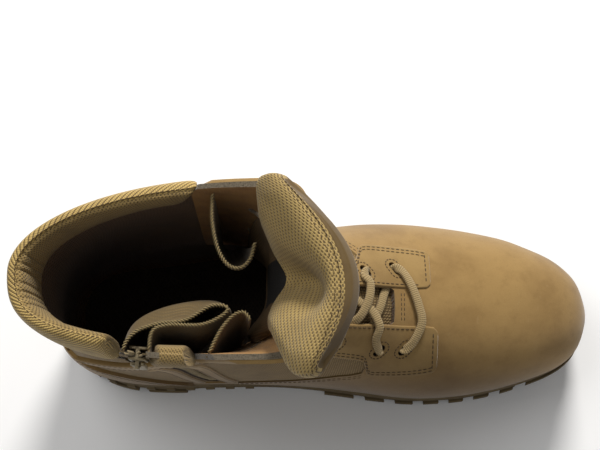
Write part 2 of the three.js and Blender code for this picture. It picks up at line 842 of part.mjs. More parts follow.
// Facings: station, how far the edge stands back from the throat, and width, both as shares
// of eyeletSetback. The low end is a broad wing, the middle a strip, the top a panel that
// reaches back to the collar pads.
const facingRows = [
  [8.1, 0.45, 0.9],
  [8.15, 0.2, 1.3],
  [8.28, 0.04, 1.65],
  [8.6, 0, 1.75],
  [9.4, 0, 1.8],
  [10.2, 0, 1.75],
  [10.5, 0, 1.42],
  [11.5, 0, 1.33],
  [13, 0, 1.33],
  [15, 0, 1.4],
  [17, 0, 1.5],
  [18.6, 0, 1.7],
  [19.8, 0, 2.2],
  [20.8, 0, 3],
  [21.7, 0, 3.6],
  [22.4, 0, 4.2],
  [22.97, 0, 4.2],
];

const overlayShell = formSolid(overlayThickness + clearance).subtract(formSolid(clearance));

function eyestay(side) {
  const sign = side === "lateral" ? 1 : -1;
  const across = 2;
  const padEnd = sign > 0 ? rearPadAngles[1] + 0.06 : frontPadAngles[0] - 0.06;
  const rings = facingRows.map(([station, setback, width]) => {
    const base = sectionAt(station);
    const start = angleAtHalf(base, throatHalfAt(station) + setback * eyeletSetback, sign);
    const walked = walkAngle(base, start, width * eyeletSetback, sign);
    const free = station < padStation - 0.3;
    const end = free ? walked : sign * Math.max(walked * sign, padEnd * sign);
    const line = (offset) => {
      const points = [];
      for (let k = 0; k <= across; k += 1) {
        points.push(pointOn(sectionAt(station, offset), lerp(start, end, k / across)));
      }
      return points;
    };
    return [...line(-6), ...line(14).reverse()];
  });
  return largestOf(cutSlots(overlayShell.intersect(loftSolid(rings)), side));
}

function largestOf(solid) {
  return solid.decompose().sort((a, b) => b.volume() - a.volume())[0];
}

// Heel overlays, seen from the side in shares of footLength and instepHeight.
const counterLine = [
  [-0.1, 0.0],
  [0.25, 0.0],
  [0.235, 0.13],
  [0.2, 0.22],
  [0.15, 0.34],
  [0.1, 0.5],
  [-0.1, 0.56],
];
const backstayHalf = 15;
const backstayTop = 0.985; // share of the height from the floor to the pads

function heelCounter() {
  const points = counterLine.map(([x, z]) => [x * footLength, heelSeat + z * instepHeight]);
  const region = sidePrism(points, -reach / 2, reach / 2);
  const belowRim = soleSolid([[0, 8], [1, 8]], () => -10, (x) => rimTop(x) + clearance);
  return largestOf(overlayShell.intersect(region).subtract(belowRim));
}

function backstay() {
  const low = heelSeat + 0.575 * instepHeight;
  const high = backstayTop * (shaftHeight - padHeight);
  const region = boxSolid([-20, -backstayHalf, low], [0.2 * footLength, backstayHalf, high]);
  return largestOf(overlayShell.intersect(region).subtract(padSpace(rearPadAngles, 0.05)));
}

function insole() {
  const inside = formSolid(-upperWall - clearance);
  const slab = soleSolid(
    [[0, 6], [1, 6]],
    (x) => seatHeight(x) + upperWall + clearance,
    (x) => seatHeight(x) + upperWall + clearance + insoleThickness,
  );
  return inside.intersect(slab);
}

// Tongue inside the boot: station, half width round the form and thickness, as shares of
// tongueWidth and tongueThickness.
const tongueRows = [
  [7.2, 0.27, 0.5],
  [8, 0.3, 0.8],
  [9, 0.33, 1],
  [10, 0.34, 1],
  [11, 0.35, 1],
  [12.5, 0.36, 1],
  [14, 0.37, 1],
  [15.5, 0.38, 1],
  [17, 0.39, 1.1],
  [18.5, 0.4, 1.25],
  [20, 0.41, 1.5],
];
// Its padded top: X as a share of footLength, height over the shaft's top and half width as
// shares of padHeight and tongueWidth, how far the wings bend back, how far the top is turned
// and how far it leans sideways, as shares of tongueWidth, and thickness as a share of
// tonguePad.
const tongueTopRows = [
  [0.441, -0.4, 0.31, 0.1, -0.02, 0, 0.75],
  [0.466, -0.03, 0.32, 0.15, -0.04, 0, 1],
  [0.486, 0.17, 0.465, 0.2, -0.08, -0.04, 1],
  [0.507, 0.34, 0.505, 0.26, -0.09, -0.06, 1],
  [0.523, 0.48, 0.515, 0.29, -0.09, -0.06, 0.85],
  [0.531, 0.56, 0.5, 0.3, -0.09, -0.06, 0.5],
];
const tongueAcross = 8;

// One ring of the tongue from the points of its face and the way it is thick.
function tongueRing(points, directions, thickness) {
  const back = points.map((point, i) => {
    const v = (i / tongueAcross) * 2 - 1;
    const taper = lerp(0.35, 1, Math.sqrt(1 - v ** 4));
    return point.clone().addScaledVector(directions[i], thickness * taper);
  });
  return [...points, ...back.reverse()];
}

function tongue() {
  const shares = Array.from({ length: tongueAcross + 1 }, (_, i) => (i / tongueAcross) * 2 - 1);
  const rings = tongueRows.map(([station, half, thickness]) => {
    const under = sectionAt(station, -upperWall - tongueGap);
    const deeper = sectionAt(station, -upperWall - tongueGap - 1);
    const angles = shares.map((v) => {
      const side = v < 0 ? -1 : 1;
      return walkAngle(under, side * Math.PI, Math.abs(v) * half * tongueWidth, side);
    });
    const points = angles.map((angle) => pointOn(under, angle));
    const inward = angles.map((angle, i) => pointOn(deeper, angle).sub(points[i]).normalize());
    return tongueRing(points, inward, thickness * tongueThickness);
  });
  tongueTopRows.forEach(([x, rise, half, bend, turn, lean, pad], i) => {
    const before = tongueTopRows[Math.max(i - 1, 0)];
    const after = tongueTopRows[Math.min(i + 1, tongueTopRows.length - 1)];
    const run = new THREE.Vector2(
      (after[0] - before[0]) * footLength,
      (after[1] - before[1]) * padHeight,
    ).normalize();
    const into = new THREE.Vector3(-run.y, 0, run.x);
    const points = shares.map((v) => new THREE.Vector3(
      x * footLength + (turn * v - bend * v * v) * tongueWidth,
      (v * half + lean) * tongueWidth,
      shaftHeight + rise * padHeight,
    ));
    rings.push(tongueRing(points, points.map(() => into), pad * tonguePad));
  });
  return loftSolid(rings);
}

// The shaft's wall with a clearance inside it.
function wallSpace() {
  return formSolid(2 * upperWall).subtract(formSolid(-upperWall - clearance));
}

// Cloth folds. Each runs along plan points at the top, and lower down it closes on its root.
function foldSolid(plan, root, top, bottom, closing) {
  const curve = new THREE.CatmullRomCurve3(plan, false, "centripetal");
  const steps = (plan.length - 1) * 2;
  const centre = curve.getPoints(steps);
  const rows = 3;
  const rings = centre.map((point, i) => {
    const run = centre[Math.min(i + 1, steps)].clone().sub(centre[Math.max(i - 1, 0)]).normalize();
    const across = new THREE.Vector3(-run.y, run.x, 0).multiplyScalar(gussetThickness / 2);
    const side = (sign) => {
      const points = [];
      for (let k = 0; k <= rows; k += 1) {
        const share = k / rows;
        const shrink = lerp(1, closing, share ** 1.5);
        const at = root.clone().lerp(point, shrink).addScaledVector(across, sign);
        points.push(at.setZ(lerp(top, bottom, share)));
      }
      return points;
    };
    return [...side(1), ...side(-1).reverse()];
  });
  return largestOf(loftSolid(rings).subtract(wallSpace()));
}

// Plan lines of the tongue's folds, from the shaft's wall round to the tongue, in shares of
// footLength and ballWidth.
const tonguePlan = ([x, y]) => new THREE.Vector3(x * footLength, y * ballWidth, 0);
const lateralFold = [
  [0.315, 0.36],
  [0.313, 0.24],
  [0.322, 0.13],
  [0.34, 0.04],
  [0.36, 0.015],
  [0.375, 0.05],
  [0.381, 0.13],
].map(tonguePlan);
const medialFold = [
  [0.31, -0.4],
  [0.33, -0.28],
  [0.35, -0.2],
  [0.365, -0.185],
  [0.375, -0.225],
].map(tonguePlan);

// The fold behind the zip, from the wall behind it to the wall in front of it: distance
// forward of the zip's top as a share of zipFoldReach, and Y as a share of ballWidth.
const zipPlan = ([x, y]) => new THREE.Vector3(zipTopX + x * zipFoldReach, y * ballWidth, 0);
const zipFold = [
  [-0.094, -0.42],
  [-0.0785, -0.27],
  [0.042, -0.19],
  [0.265, -0.145],
  [0.55, -0.125],
  [0.773, -0.13],
  [0.9, -0.17],
  [0.8365, -0.215],
  [0.646, -0.25],
  [0.328, -0.245],
  [0.169, -0.28],
  [0.15, -0.42],
].map(zipPlan);
const zipRoot = zipPlan([0.0325, -0.353]);

// Zip parts: a strip along the zip's line between two distances from it and two offsets.
function zipStrip(d0, d1, o0, o1, low, high, steps, spread) {
  const rings = [];
  for (let i = 0; i <= steps; i += 1) {
    const z = lerp(low, high, i / steps);
    const shift = spread * zipOpening(z);
    const corner = (d, o) => sidePoint(zipX(z) + d + shift, z, -1, o).at;
    rings.push([corner(d0, o0), corner(d1, o0), corner(d1, o1), corner(d0, o1)]);
  }
  return loftSolid(rings);
}

const zipPlane = -upperWall / 2; // offset of the tapes' middle
const tapeOuter = zipGapWidth / 2 - 2 * clearance;
const tapeInner = zipChainWidth / 2 + clearance;
const teethHalf = zipChainWidth / 2 - clearance;

function zipTape(sign) {
  const half = zipTapeThickness / 2;
  const strip = zipStrip(
    sign * tapeInner,
    sign * tapeOuter,
    zipPlane - half,
    zipPlane + half,
    zipBottomHeight + clearance,
    shaftHeight - 3,
    9,
    sign,
  );
  // above the slider each tape carries its own row of teeth
  const teeth = zipStrip(
    sign * clearance,
    sign * (tapeInner + 0.4),
    zipPlane - zipChainThickness / 2,
    zipPlane + zipChainThickness / 2,
    zipOpenHeight + sliderLength / 2 + clearance,
    shaftHeight - 4,
    3,
    sign,
  );
  return strip.add(teeth);
}

function zipChain() {
  return zipStrip(
    -teethHalf,
    teethHalf,
    zipPlane - zipChainThickness / 2,
    zipPlane + zipChainThickness / 2,
    zipBottomHeight + clearance,
    zipOpenHeight + sliderLength * 0.1,
    8,
    0,
  );
}

// The slider's own frame: X along the shaft, Y up, Z outward, at the middle of the chain.
const sliderPlace = sidePoint(zipX(zipOpenHeight), zipOpenHeight, -1, zipPlane);
const outward = sliderPlace.normal.clone().setZ(0).normalize();
const upward = new THREE.Vector3(0, 0, 1);
const sideways = upward.clone().cross(outward).normalize();
const sliderMatrix = new THREE.Matrix4()
  .makeBasis(sideways, upward, outward)
  .setPosition(sliderPlace.at);

// A box in the slider's frame from its lowest to its highest corner.
function sliderBox(low, high) {
  const size = high.map((value, i) => value - low[i]);
  const centre = high.map((value, i) => (value + low[i]) / 2);
  const matrix = new THREE.Matrix4().makeTranslation(...centre).premultiply(sliderMatrix);
  return placed(new THREE.BoxGeometry(...size), matrix);
}

const plateIn = zipChainThickness / 2 + 2 * clearance; // chain's middle to a plate's inner face
const plateOut = plateIn + plateThickness;
const pinHeight = plateOut + pinLift;
const bailUnder = pinHeight + pinRadius + 2 * clearance;
const bailOver = bailUnder + bailBar;
const pinDrop = bailLength / 2 - bailBar - pinRadius - clearance; // pin below the middle

function zipSlider() {
  const w = sliderWidth / 2;
  const h = sliderLength / 2;
  const b = bailWidth / 2;
  const e = bailLength / 2;
  const outer = sliderBox([-w, -h, plateIn], [w, h, plateOut]);
  const inner = sliderBox([-w, -h, -plateOut], [w, h, -plateIn]);
  const post = sliderBox([-1, h * 0.55, -plateOut], [1, h, plateOut]);
  const bar = sliderBox([-b, -e, bailUnder], [b, e, bailOver]);
  const lowLeg = sliderBox([-b, -e, plateIn], [b, -e + bailBar, bailOver]);
  const highLeg = sliderBox([-b, e - bailBar, plateIn], [b, e, bailOver]);
  return outer.add(inner).add(post).add(bar).add(lowLeg).add(highLeg);
}

// The pull, drawn round its crossbar and hanging straight down from it.
const pullMatrix = sliderMatrix.clone().multiply(
  new THREE.Matrix4().makeTranslation(0, -pinDrop, pinHeight),
);

function zipPull() {
  const w = pullWidth / 2;
  const above = pinRadius + 0.1;
  const window = bailWidth / 2 + 1.5 * clearance;
  const shape = new THREE.Shape();
  shape.moveTo(-w, above);
  shape.lineTo(-window, above);
  shape.lineTo(-window, -pullWindow);
  shape.lineTo(window, -pullWindow);
  shape.lineTo(window, above);
  shape.lineTo(w, above);
  shape.lineTo(w * 0.8, -pullLength * 0.9);
  shape.lineTo(w * 0.4, -pullLength);
  shape.lineTo(-w * 0.4, -pullLength);
  shape.lineTo(-w * 0.8, -pullLength * 0.9);
  const options = { depth: pullThickness, bevelEnabled: false };
  const plate = new THREE.ExtrudeGeometry(shape, options);
  plate.translate(0, 0, -pullThickness / 2);
  const pin = new THREE.CylinderGeometry(pinRadius, pinRadius, window * 2 + 1, 8);
  pin.rotateZ(Math.PI / 2);
  return placed(plate, pullMatrix).add(placed(pin, pullMatrix));
}

// The leather tab that closes over the slider, lying open towards the heel: X as a share of
// footLength, and distance out of the shaft's face as a share of tabLift.
const tabRows = [
  [0.245, 0.06],
  [0.225, 0.06],
  [0.2, 0.32],
  [0.175, 0.52],
  [0.15, 0.68],
  [0.125, 0.84],
  [0.105, 1],
];

function zipTab() {
  const rings = tabRows.map(([x, lift]) => {
    const line = (offset) => [0, 0.5, 1].map((share) => {
      const z = tabTop - share * tabHeight;
      return sidePoint(x * footLength, z, -1, lift * tabLift + offset).at;
    });
    return [...line(0), ...line(tabThickness).reverse()];
  });
  return loftSolid(rings);
}

// Lace: an oval tube along points
function laceTube(points) {
  const curve = new THREE.CatmullRomCurve3(points, false, "centripetal");
  const section = new THREE.Shape();
  section.absellipse(0, 0, laceThickness / 2, laceWidth / 2, 0, Math.PI * 2, false, 0);
  const options = { steps: points.length, extrudePath: curve, curveSegments: 4 };
  return solidFrom(new THREE.ExtrudeGeometry(section, options));
}

const laceRise = laceThickness / 2 + 4 * clearance; // a facing's surface to the lace's middle

// Where a lace passes over a facing's edge.
function overEdge(eyelet) {
  const out = overlayThickness + clearance + laceRise + 0.8;
  return eyelet.edge.clone().addScaledVector(eyelet.normal, out);
}

// A leg from an eyelet on one side over the throat to the other side's edge at another row.
function laceLeg(from, to, lift) {
  const start = from.at.clone().addScaledVector(from.normal, laceRise);
  const gap = laceWidth / 2 + 2 * clearance;
  const far = to.edge.clone()
    .addScaledVector(to.across, gap)
    .addScaledVector(to.normal, 0.3)
    .addScaledVector(to.along, 2.2);
  const station = (from.station + to.station) / 2;
  const middle = pointOn(sectionAt(station, 0.6 + lift), Math.PI);
  return laceTube([start, overEdge(from), middle, far]);
}

function laceCrossing(row) {
  const { lateral, medial } = eyeletSides;
  const a = laceLeg(lateral[row], medial[row + 1], 0.6);
  return a.add(laceLeg(medial[row], lateral[row + 1], 0));
}

function laceBar() {
  const [a] = eyeletSides.lateral;
  const [b] = eyeletSides.medial;
  const end = (eyelet) => eyelet.at.clone().addScaledVector(eyelet.normal, laceRise);
  const rise = laceThickness / 2 + 4 * clearance;
  const middle = pointOn(sectionAt((a.station + b.station) / 2, rise), Math.PI);
  return laceTube([end(a), overEdge(a), middle, overEdge(b), end(b)]);
}

// Meshes and materials

function geometryOf(solid) {
  const mesh = solid.getMesh();
  const geometry = new THREE.BufferGeometry();
  const vertices = new Float32Array(mesh.numVert * 3);
  for (let i = 0; i < mesh.numVert; i += 1) {
    const start = i * mesh.numProp;
    vertices.set(mesh.vertProperties.subarray(start, start + 3), i * 3);
  }
  geometry.setAttribute("position", new THREE.BufferAttribute(vertices, 3));
  geometry.setIndex(new THREE.BufferAttribute(mesh.triVerts, 1));
  geometry.computeVertexNormals();
  return geometry;
}

const materials = {
  leather: { color: 0xa8854f, roughness: 0.75, metalness: 0 },
  nylon: { color: 0x9c7c42, roughness: 0.7, metalness: 0 },
  mesh: { color: 0xb08f52, roughness: 0.85, metalness: 0 },
  rubber: { color: 0x5c4d38, roughness: 0.8, metalness: 0 },
  foam: { color: 0x7b6747, roughness: 0.8, metalness: 0 },
  lace: { color: 0xa68c60, roughness: 0.9, metalness: 0 },
  metal: { color: 0x8d8674, roughness: 0.4, metalness: 0.9 },
};

const boot = new THREE.Group();

function addPiece(name, solid, look) {
  const mesh = new THREE.Mesh(
    geometryOf(solid),
    new THREE.MeshStandardMaterial({ ...materials[look], flatShading: true }),
  );
  mesh.name = name;
  boot.add(mesh);
}

addPiece("outsole", outsole(), "rubber");
addPiece("midsole", midsole(), "foam");
addPiece("insole", insole(), "mesh");
addPiece("upper", upper(), "nylon");
addPiece("eyestay_lateral", eyestay("lateral"), "leather");
addPiece("eyestay_medial", eyestay("medial"), "leather");
addPiece("heel_counter", heelCounter(), "leather");
addPiece("backstay", backstay(), "leather");
addPiece("collar_pad_rear", collarPad(rearPadAngles, 16, padLean), "nylon");
addPiece("collar_pad_front", collarPad(frontPadAngles, 4, 0), "nylon");
addPiece("tongue", tongue(), "mesh");
const foldTop = shaftHeight - 8;
addPiece(
  "tongue_gusset_lateral",
  foldSolid(lateralFold, lateralFold[0], foldTop, foldTop * 0.6, 0.35),
  "nylon",
);
addPiece(
  "tongue_gusset_medial",
  foldSolid(medialFold, medialFold[0], foldTop, foldTop * 0.6, 0.35),
  "nylon",
);
addPiece("zip_gusset", foldSolid(zipFold, zipRoot, foldTop, foldTop * 0.55, 0.35), "nylon");
addPiece("zip_tape_rear", zipTape(-1), "nylon");
addPiece("zip_tape_front", zipTape(1), "nylon");
addPiece("zip_chain", zipChain(), "nylon");
addPiece("zip_slider", zipSlider(), "metal");
addPiece("zip_pull", zipPull(), "metal");
addPiece("zip_tab", zipTab(), "leather");
addPiece("lace_bar_1", laceBar(), "lace");
for (let row = 1; row < eyeletRows - 1; row += 1) {
  addPiece(`lace_cross_${row + 1}`, laceCrossing(row), "lace");
}

// The origin is the middle of the underside of the boot's box.
const bounds = new THREE.Box3().setFromObject(boot);
const centre = bounds.getCenter(new THREE.Vector3());
boot.position.set(-centre.x, -centre.y, -bounds.min.z);

export default boot;
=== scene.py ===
import math
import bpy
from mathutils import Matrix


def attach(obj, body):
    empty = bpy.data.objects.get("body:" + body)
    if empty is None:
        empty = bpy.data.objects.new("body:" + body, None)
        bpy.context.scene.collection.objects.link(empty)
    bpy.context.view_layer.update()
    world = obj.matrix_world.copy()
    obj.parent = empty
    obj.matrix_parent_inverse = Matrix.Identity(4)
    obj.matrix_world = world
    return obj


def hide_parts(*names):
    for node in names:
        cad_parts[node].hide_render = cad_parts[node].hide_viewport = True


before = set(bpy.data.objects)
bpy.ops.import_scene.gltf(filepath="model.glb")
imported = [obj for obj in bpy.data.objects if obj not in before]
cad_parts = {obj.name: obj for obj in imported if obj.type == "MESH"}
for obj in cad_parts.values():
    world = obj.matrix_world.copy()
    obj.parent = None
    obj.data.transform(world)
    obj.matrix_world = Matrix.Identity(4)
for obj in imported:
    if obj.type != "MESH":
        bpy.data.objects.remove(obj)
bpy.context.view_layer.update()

from types import SimpleNamespace

import bmesh
import bpy
import numpy as np
from mathutils import Matrix, Vector
from mathutils.bvhtree import BVHTree
from mathutils.kdtree import KDTree

# The boot's own frame is in millimetres: X from the heel's back to the toe, Y to the outer
# side, Z up. SHIFT moves it to the part's frame.
SHIFT = np.array([-152.515, -3.51, 0.0])
MM = 0.001
FAR = 400  # past the boot on every side, for cutters

# Sizes of the part's solids
FOOT, BALL = 305.0, 102.0  # length of the last, and its width at the ball
HEEL_SEAT, BALL_SEAT, TOE_SEAT = 27.0, 16.0, 25.0  # floor to the upper's lower edge
INSTEP = 118  # heel seat to the bend of the instep
BEND, SHAFT = 145.0, 228.0  # floor to that bend, and to the top of the shaft's front
WALL, CLEAR = 2.6, 0.3  # the upper's thickness, and the gap between touching pieces
OVERLAY = 1.7  # thickness of a leather overlay
FACE = 2.0  # a facing's outer face above the last
TOE_ROWS = 8  # sections in which the outline still turns round the toe
PAD_LOW = 21.945  # station at which the collar pads start
TOP = 23  # the last station, at the top of the shaft


def lerp(a, b, s):
    return a + (b - a) * s


def smooth(x, low, high):
    """0 below low, 1 above high, and an even curve between them."""
    s = np.clip((np.asarray(x, float) - low) / (high - low), 0, 1)
    return s * s * (3 - 2 * s)


# The last, in the same sections as the part's solids, from the toe tip back and up to the
# collar. A station is a place between the rows, and an angle is a place round a section: 0 on
# the sole or heel line, positive to the outer side, and half a turn on the front line.
COLUMNS = ["topX", "topLevel", "backX", "backLevel", "lateral", "medial", "ridge",
           "widest", "lowOut", "lowIn", "high"]
ROWS = [
    [1.0, 0.18, 1.0, 0.13, 0.03, -0.01, 0.02, 0.5, 2, 2, 2],
    [0.997, 0.22, 0.997, 0.08, 0.105, 0.065, 0.02, 0.45, 2.6, 2.6, 2.1],
    [0.985, 0.28, 0.985, 0.035, 0.215, 0.165, 0.02, 0.37, 4, 4, 2.2],
    [0.965, 0.33, 0.965, 0.01, 0.29, 0.232, 0.025, 0.33, 6, 6, 2.3],
    [0.935, 0.373, 0.935, 0, 0.358, 0.285, 0.03, 0.31, 7, 7, 2.3],
    [0.89, 0.411, 0.89, 0, 0.42, 0.335, 0.03, 0.3, 7, 7, 2.3],
    [0.84, 0.44, 0.84, 0, 0.476, 0.378, 0.025, 0.3, 7, 7, 2.2],
    [0.77, 0.466, 0.77, 0, 0.521, 0.418, 0.02, 0.3, 7, 7, 2.1],
    [0.7, 0.5, 0.7, 0, 0.55, 0.434, 0.015, 0.3, 7, 7, 2.0],
    [0.64, 0.55, 0.64, 0, 0.56, 0.428, 0.01, 0.3, 7, 7, 1.95],
    [0.585, 0.627, 0.56, 0, 0.552, 0.4, 0.008, 0.3, 7, 7, 1.9],
    [0.535, 0.708, 0.485, 0, 0.52, 0.378, 0, 0.31, 7, 7, 1.85],
    [0.492, 0.797, 0.395, 0, 0.475, 0.365, 0, 0.33, 7, 7, 1.85],
    [0.465, 0.89, 0.295, 0, 0.435, 0.363, 0, 0.35, 7, 7, 1.9],
    [0.448, 0.983, 0.195, 0, 0.4, 0.365, 0, 0.38, 6.5, 6.5, 2.0],
    [0.438, 1.1, 0.105, 0, 0.378, 0.362, 0, 0.41, 6, 6, 2.1],
    [0.432, 1.205, 0.04, 0.01, 0.365, 0.355, 0, 0.44, 4, 4, 2.3],
    [0.429, 1.31, 0.006, 0.11, 0.36, 0.353, 0, 0.46, 3, 3, 2.5],
    [0.428, 1.42, 0.0, 0.297, 0.363, 0.357, 0, 0.48, 2.7, 2.7, 2.8],
    [0.43, 1.53, 0.01, 0.55, 0.368, 0.363, 0, 0.52, 2.5, 2.6, 3.1],
    [0.434, 1.645, 0.026, 0.83, 0.373, 0.368, 0, 0.57, 2.4, 2.6, 3.5],
    [0.441, 1.76, 0.03, 1.12, 0.383, 0.376, 0, 0.63, 2.2, 2.6, 4],
    [0.451, 1.88, 0.022, 1.49, 0.395, 0.392, 0, 0.7, 2.1, 2.6, 4.5],
    [0.465, 2.0, 0.006, 1.9, 0.405, 0.415, 0, 0.78, 2.0, 2.6, 5],
]


def spline(values, t):
    """A smooth curve through values, or through the rows of a table, at places t."""
    v = np.asarray(values, float)
    t = np.asarray(t, float)
    i = np.clip(np.floor(t).astype(int), 0, len(v) - 2)
    shape = t.shape + (1,) * (v.ndim - 1)
    u = (t - i).reshape(shape)
    p1, p2 = v[i], v[i + 1]
    p0 = np.where((i > 0).reshape(shape), v[np.maximum(i - 1, 0)], 2 * p1 - p2)
    p3 = np.where((i < len(v) - 2).reshape(shape), v[np.minimum(i + 2, len(v) - 1)], 2 * p2 - p1)
    a, b = (p2 - p0) / 2, (p3 - p1) / 2
    return (2 * p1 - 2 * p2 + a + b) * u**3 + (3 * p2 - 3 * p1 - 2 * a - b) * u**2 + a * u + p1


def height_of(level, base):
    """Height of a level: 0 is the base, 1 the bend of the instep, 2 the top of the shaft."""
    return np.where(level <= 1, lerp(base, BEND, level), lerp(BEND, SHAFT, level - 1))


def seat(x):
    """Height of the upper's lower edge along the foot."""
    share = np.asarray(x, float) / FOOT
    rise = np.maximum(0, (share - 0.66) / 0.34) ** 2
    return lerp(HEEL_SEAT, BALL_SEAT, smooth(share, 0.24, 0.64)) + (TOE_SEAT - BALL_SEAT) * rise


def lines(t):
    """A station's row of values, and the two ends of its section in (x, z)."""
    t = np.maximum(t, 0)
    values = spline(ROWS, t)
    row = {name: values[..., k] for k, name in enumerate(COLUMNS)}
    back_x = row["backX"] * FOOT
    top = np.stack([row["topX"] * FOOT, height_of(row["topLevel"], HEEL_SEAT)], -1)
    back = np.stack([back_x, height_of(row["backLevel"], seat(back_x))], -1)
    return row, top, back


def unit(v):
    return v / np.maximum(np.linalg.norm(v, axis=-1, keepdims=True), 1e-9)


def section(t, offset=0.0):
    """The section at a station, moved outward by offset all round."""
    step = 0.05
    t, offset = np.broadcast_arrays(np.asarray(t, float), np.asarray(offset, float))
    row, top, back = lines(t)
    row0, top0, back0 = lines(t - step)
    row1, top1, back1 = lines(t + step)
    run, low = unit(top1 - top0), unit(back1 - back0)
    reach_in = (row1["topX"] - row0["topX"]) * FOOT
    reach_out = (row1["lateral"] - row0["lateral"]) * BALL
    turned = np.abs(reach_in) / np.maximum(np.hypot(reach_in, reach_out), 1e-9)
    side = np.where(t < TOE_ROWS, turned, 1)
    return SimpleNamespace(
        top=top + np.stack([run[..., 1], -run[..., 0]], -1) * offset[..., None],
        back=back + np.stack([-low[..., 1], low[..., 0]], -1) * offset[..., None],
        lateral=row["lateral"] * BALL + offset * side,
        medial=row["medial"] * BALL + offset * side,
        ridge=row["ridge"] * BALL,
        widest=row["widest"], lowOut=row["lowOut"], lowIn=row["lowIn"], high=row["high"],
    )


def on_section(s, angle):
    c, sn = np.cos(angle), np.sin(angle)
    outer = sn >= 0
    power = 2 / np.where(c > 0, np.where(outer, s.lowOut, s.lowIn), s.high)
    bent = np.abs(c) ** power
    along = np.where(c > 0, s.widest * (1 - bent), s.widest + (1 - s.widest) * bent)
    half = np.where(outer, s.lateral - s.ridge, s.medial + s.ridge)
    across = np.abs(sn) ** power * half * np.where(outer, 1, -1)
    line = s.back + (s.top - s.back) * along[..., None]
    return np.stack([line[..., 0], s.ridge + across, line[..., 1]], -1)


def form(t, angle, offset=0.0):
    """Points of the last's surface at stations and angles, moved outward by offset."""
    t, angle, offset = np.broadcast_arrays(*(np.asarray(v, float) for v in (t, angle, offset)))
    return on_section(section(t, offset), angle)


def place_on(x, z, side):
    """Station and angle at which the side, outer 1 or inner -1, is seen at (x, z)."""
    x, z = np.broadcast_arrays(np.asarray(x, float), np.asarray(z, float))
    low, high = np.ones(x.shape), np.full(x.shape, float(TOP))
    for _ in range(30):
        middle = (low + high) / 2
        s = section(middle)
        run = s.top - s.back
        up = run[..., 0] * (z - s.back[..., 1]) - run[..., 1] * (x - s.back[..., 0]) > 0
        low, high = np.where(up, middle, low), np.where(up, high, middle)
    t = (low + high) / 2
    s = section(t)
    length = np.linalg.norm(s.top - s.back, axis=-1)
    share = np.clip(np.hypot(x - s.back[..., 0], z - s.back[..., 1]) / length, 0.001, 0.999)
    power = (s.lowOut if side > 0 else s.lowIn) / 2
    near = np.clip(1 - share / s.widest, 0, 1) ** power
    far = -(np.clip((share - s.widest) / (1 - s.widest), 0, 1) ** (s.high / 2))
    return t, np.arccos(np.clip(np.where(share < s.widest, near, far), -1, 1)) * side


def side_point(x, z, side, offset=0.0):
    """The point of a side that is seen at (x, z)."""
    t, angle = place_on(x, z, side)
    return form(t, angle, offset)


# Creases: the part's side (or 0 for the top of the vamp), the line in (x, z) or (x, y),
# width, and depth outward (ridge) or inward (trough).
CREASES = [
    (-1, [(136, 118), (120, 130), (104, 134), (92, 132)], 4.5, -2.6),
    (-1, [(134, 134), (116, 143), (96, 146)], 4.5, 2.0),
    (-1, [(130, 176), (114, 160), (94, 152)], 4, -2.2),
    (-1, [(100, 190), (112, 174), (134, 158)], 4, -2.0),
    (-1, [(88, 178), (102, 168), (112, 150)], 4, 1.6),
    (-1, [(136, 200), (118, 192), (104, 200)], 4, -1.6),
    (-1, [(60, 150), (40, 158), (18, 160)], 5, -1.1),
    (-1, [(58, 132), (38, 134), (16, 130)], 5, 1.1),
    (1, [(128, 124), (100, 133), (76, 133), (52, 126)], 6, -1.4),
    (1, [(126, 142), (100, 150), (70, 150), (46, 144)], 6, 1.2),
    (1, [(120, 164), (92, 170), (60, 166)], 6, -1.2),
    (1, [(60, 112), (36, 110), (18, 104)], 6, -0.9),
    (1, [(126, 190), (110, 184), (92, 190)], 5, -0.9),
    (0, [(205, 38), (212, 22), (211, 8)], 6, -0.5),
    (0, [(206, -34), (213, -22), (212, -8)], 6, -0.5),
    (0, [(222, 40), (228, 22), (229, 0), (226, -20), (220, -34)], 8, -0.45),
]


def distance_to(points, line):
    """Distance of points from a line of straight pieces."""
    best = np.full(points.shape[:-1], 1e9)
    for a, b in zip(line[:-1], line[1:]):
        a, b = np.array(a, float), np.array(b, float)
        ab = b - a
        s = np.clip(((points - a) @ ab) / (ab @ ab), 0, 1)
        best = np.minimum(best, np.linalg.norm(points - a - s[..., None] * ab, axis=-1))
    return best


def relief(p):
    """How far the creases move a point of the surface outward."""
    total = np.zeros(p.shape[:-1])
    for side, line, width, depth in CREASES:
        plane = p[..., [0, 1]] if side == 0 else p[..., [0, 2]]
        swell = np.exp(-((distance_to(plane, line) / width) ** 2)) * depth
        if side:
            swell = swell * smooth(p[..., 1] * side, 2, 16)
        else:
            swell = swell * smooth(p[..., 2], 50, 60)
        total += swell
    wave = np.sin(p[..., 0] * 0.11 + 1.0) * np.sin(p[..., 2] * 0.13) * np.sin(p[..., 1] * 0.09 + 0.5)
    return total + 0.25 * wave


# Meshes

def new_object(name, points, faces, uv=None):
    """An object from points in mm of the boot's frame; uv is one list of pairs for each face."""
    mesh = bpy.data.meshes.new(name)
    place = (np.asarray(points, float).reshape(-1, 3) + SHIFT) * MM
    mesh.from_pydata(place.tolist(), [], [list(map(int, f)) for f in faces])
    if uv is not None:
        layer = mesh.uv_layers.new(name="fabric")
        layer.uv.foreach_set("vector", np.concatenate([np.asarray(u, float) for u in uv]).ravel())
    mesh.validate()
    obj = bpy.data.objects.new(name, mesh)
    bpy.context.scene.collection.objects.link(obj)
    return obj


def face_out(obj):
    """Turns every face of a closed mesh outward."""
    bm = bmesh.new()
    bm.from_mesh(obj.data)
    bmesh.ops.recalc_face_normals(bm, faces=bm.faces)
    if bm.calc_volume(signed=True) < 0:
        bmesh.ops.reverse_faces(bm, faces=bm.faces)
    bm.to_mesh(obj.data)
    bm.free()
    return obj


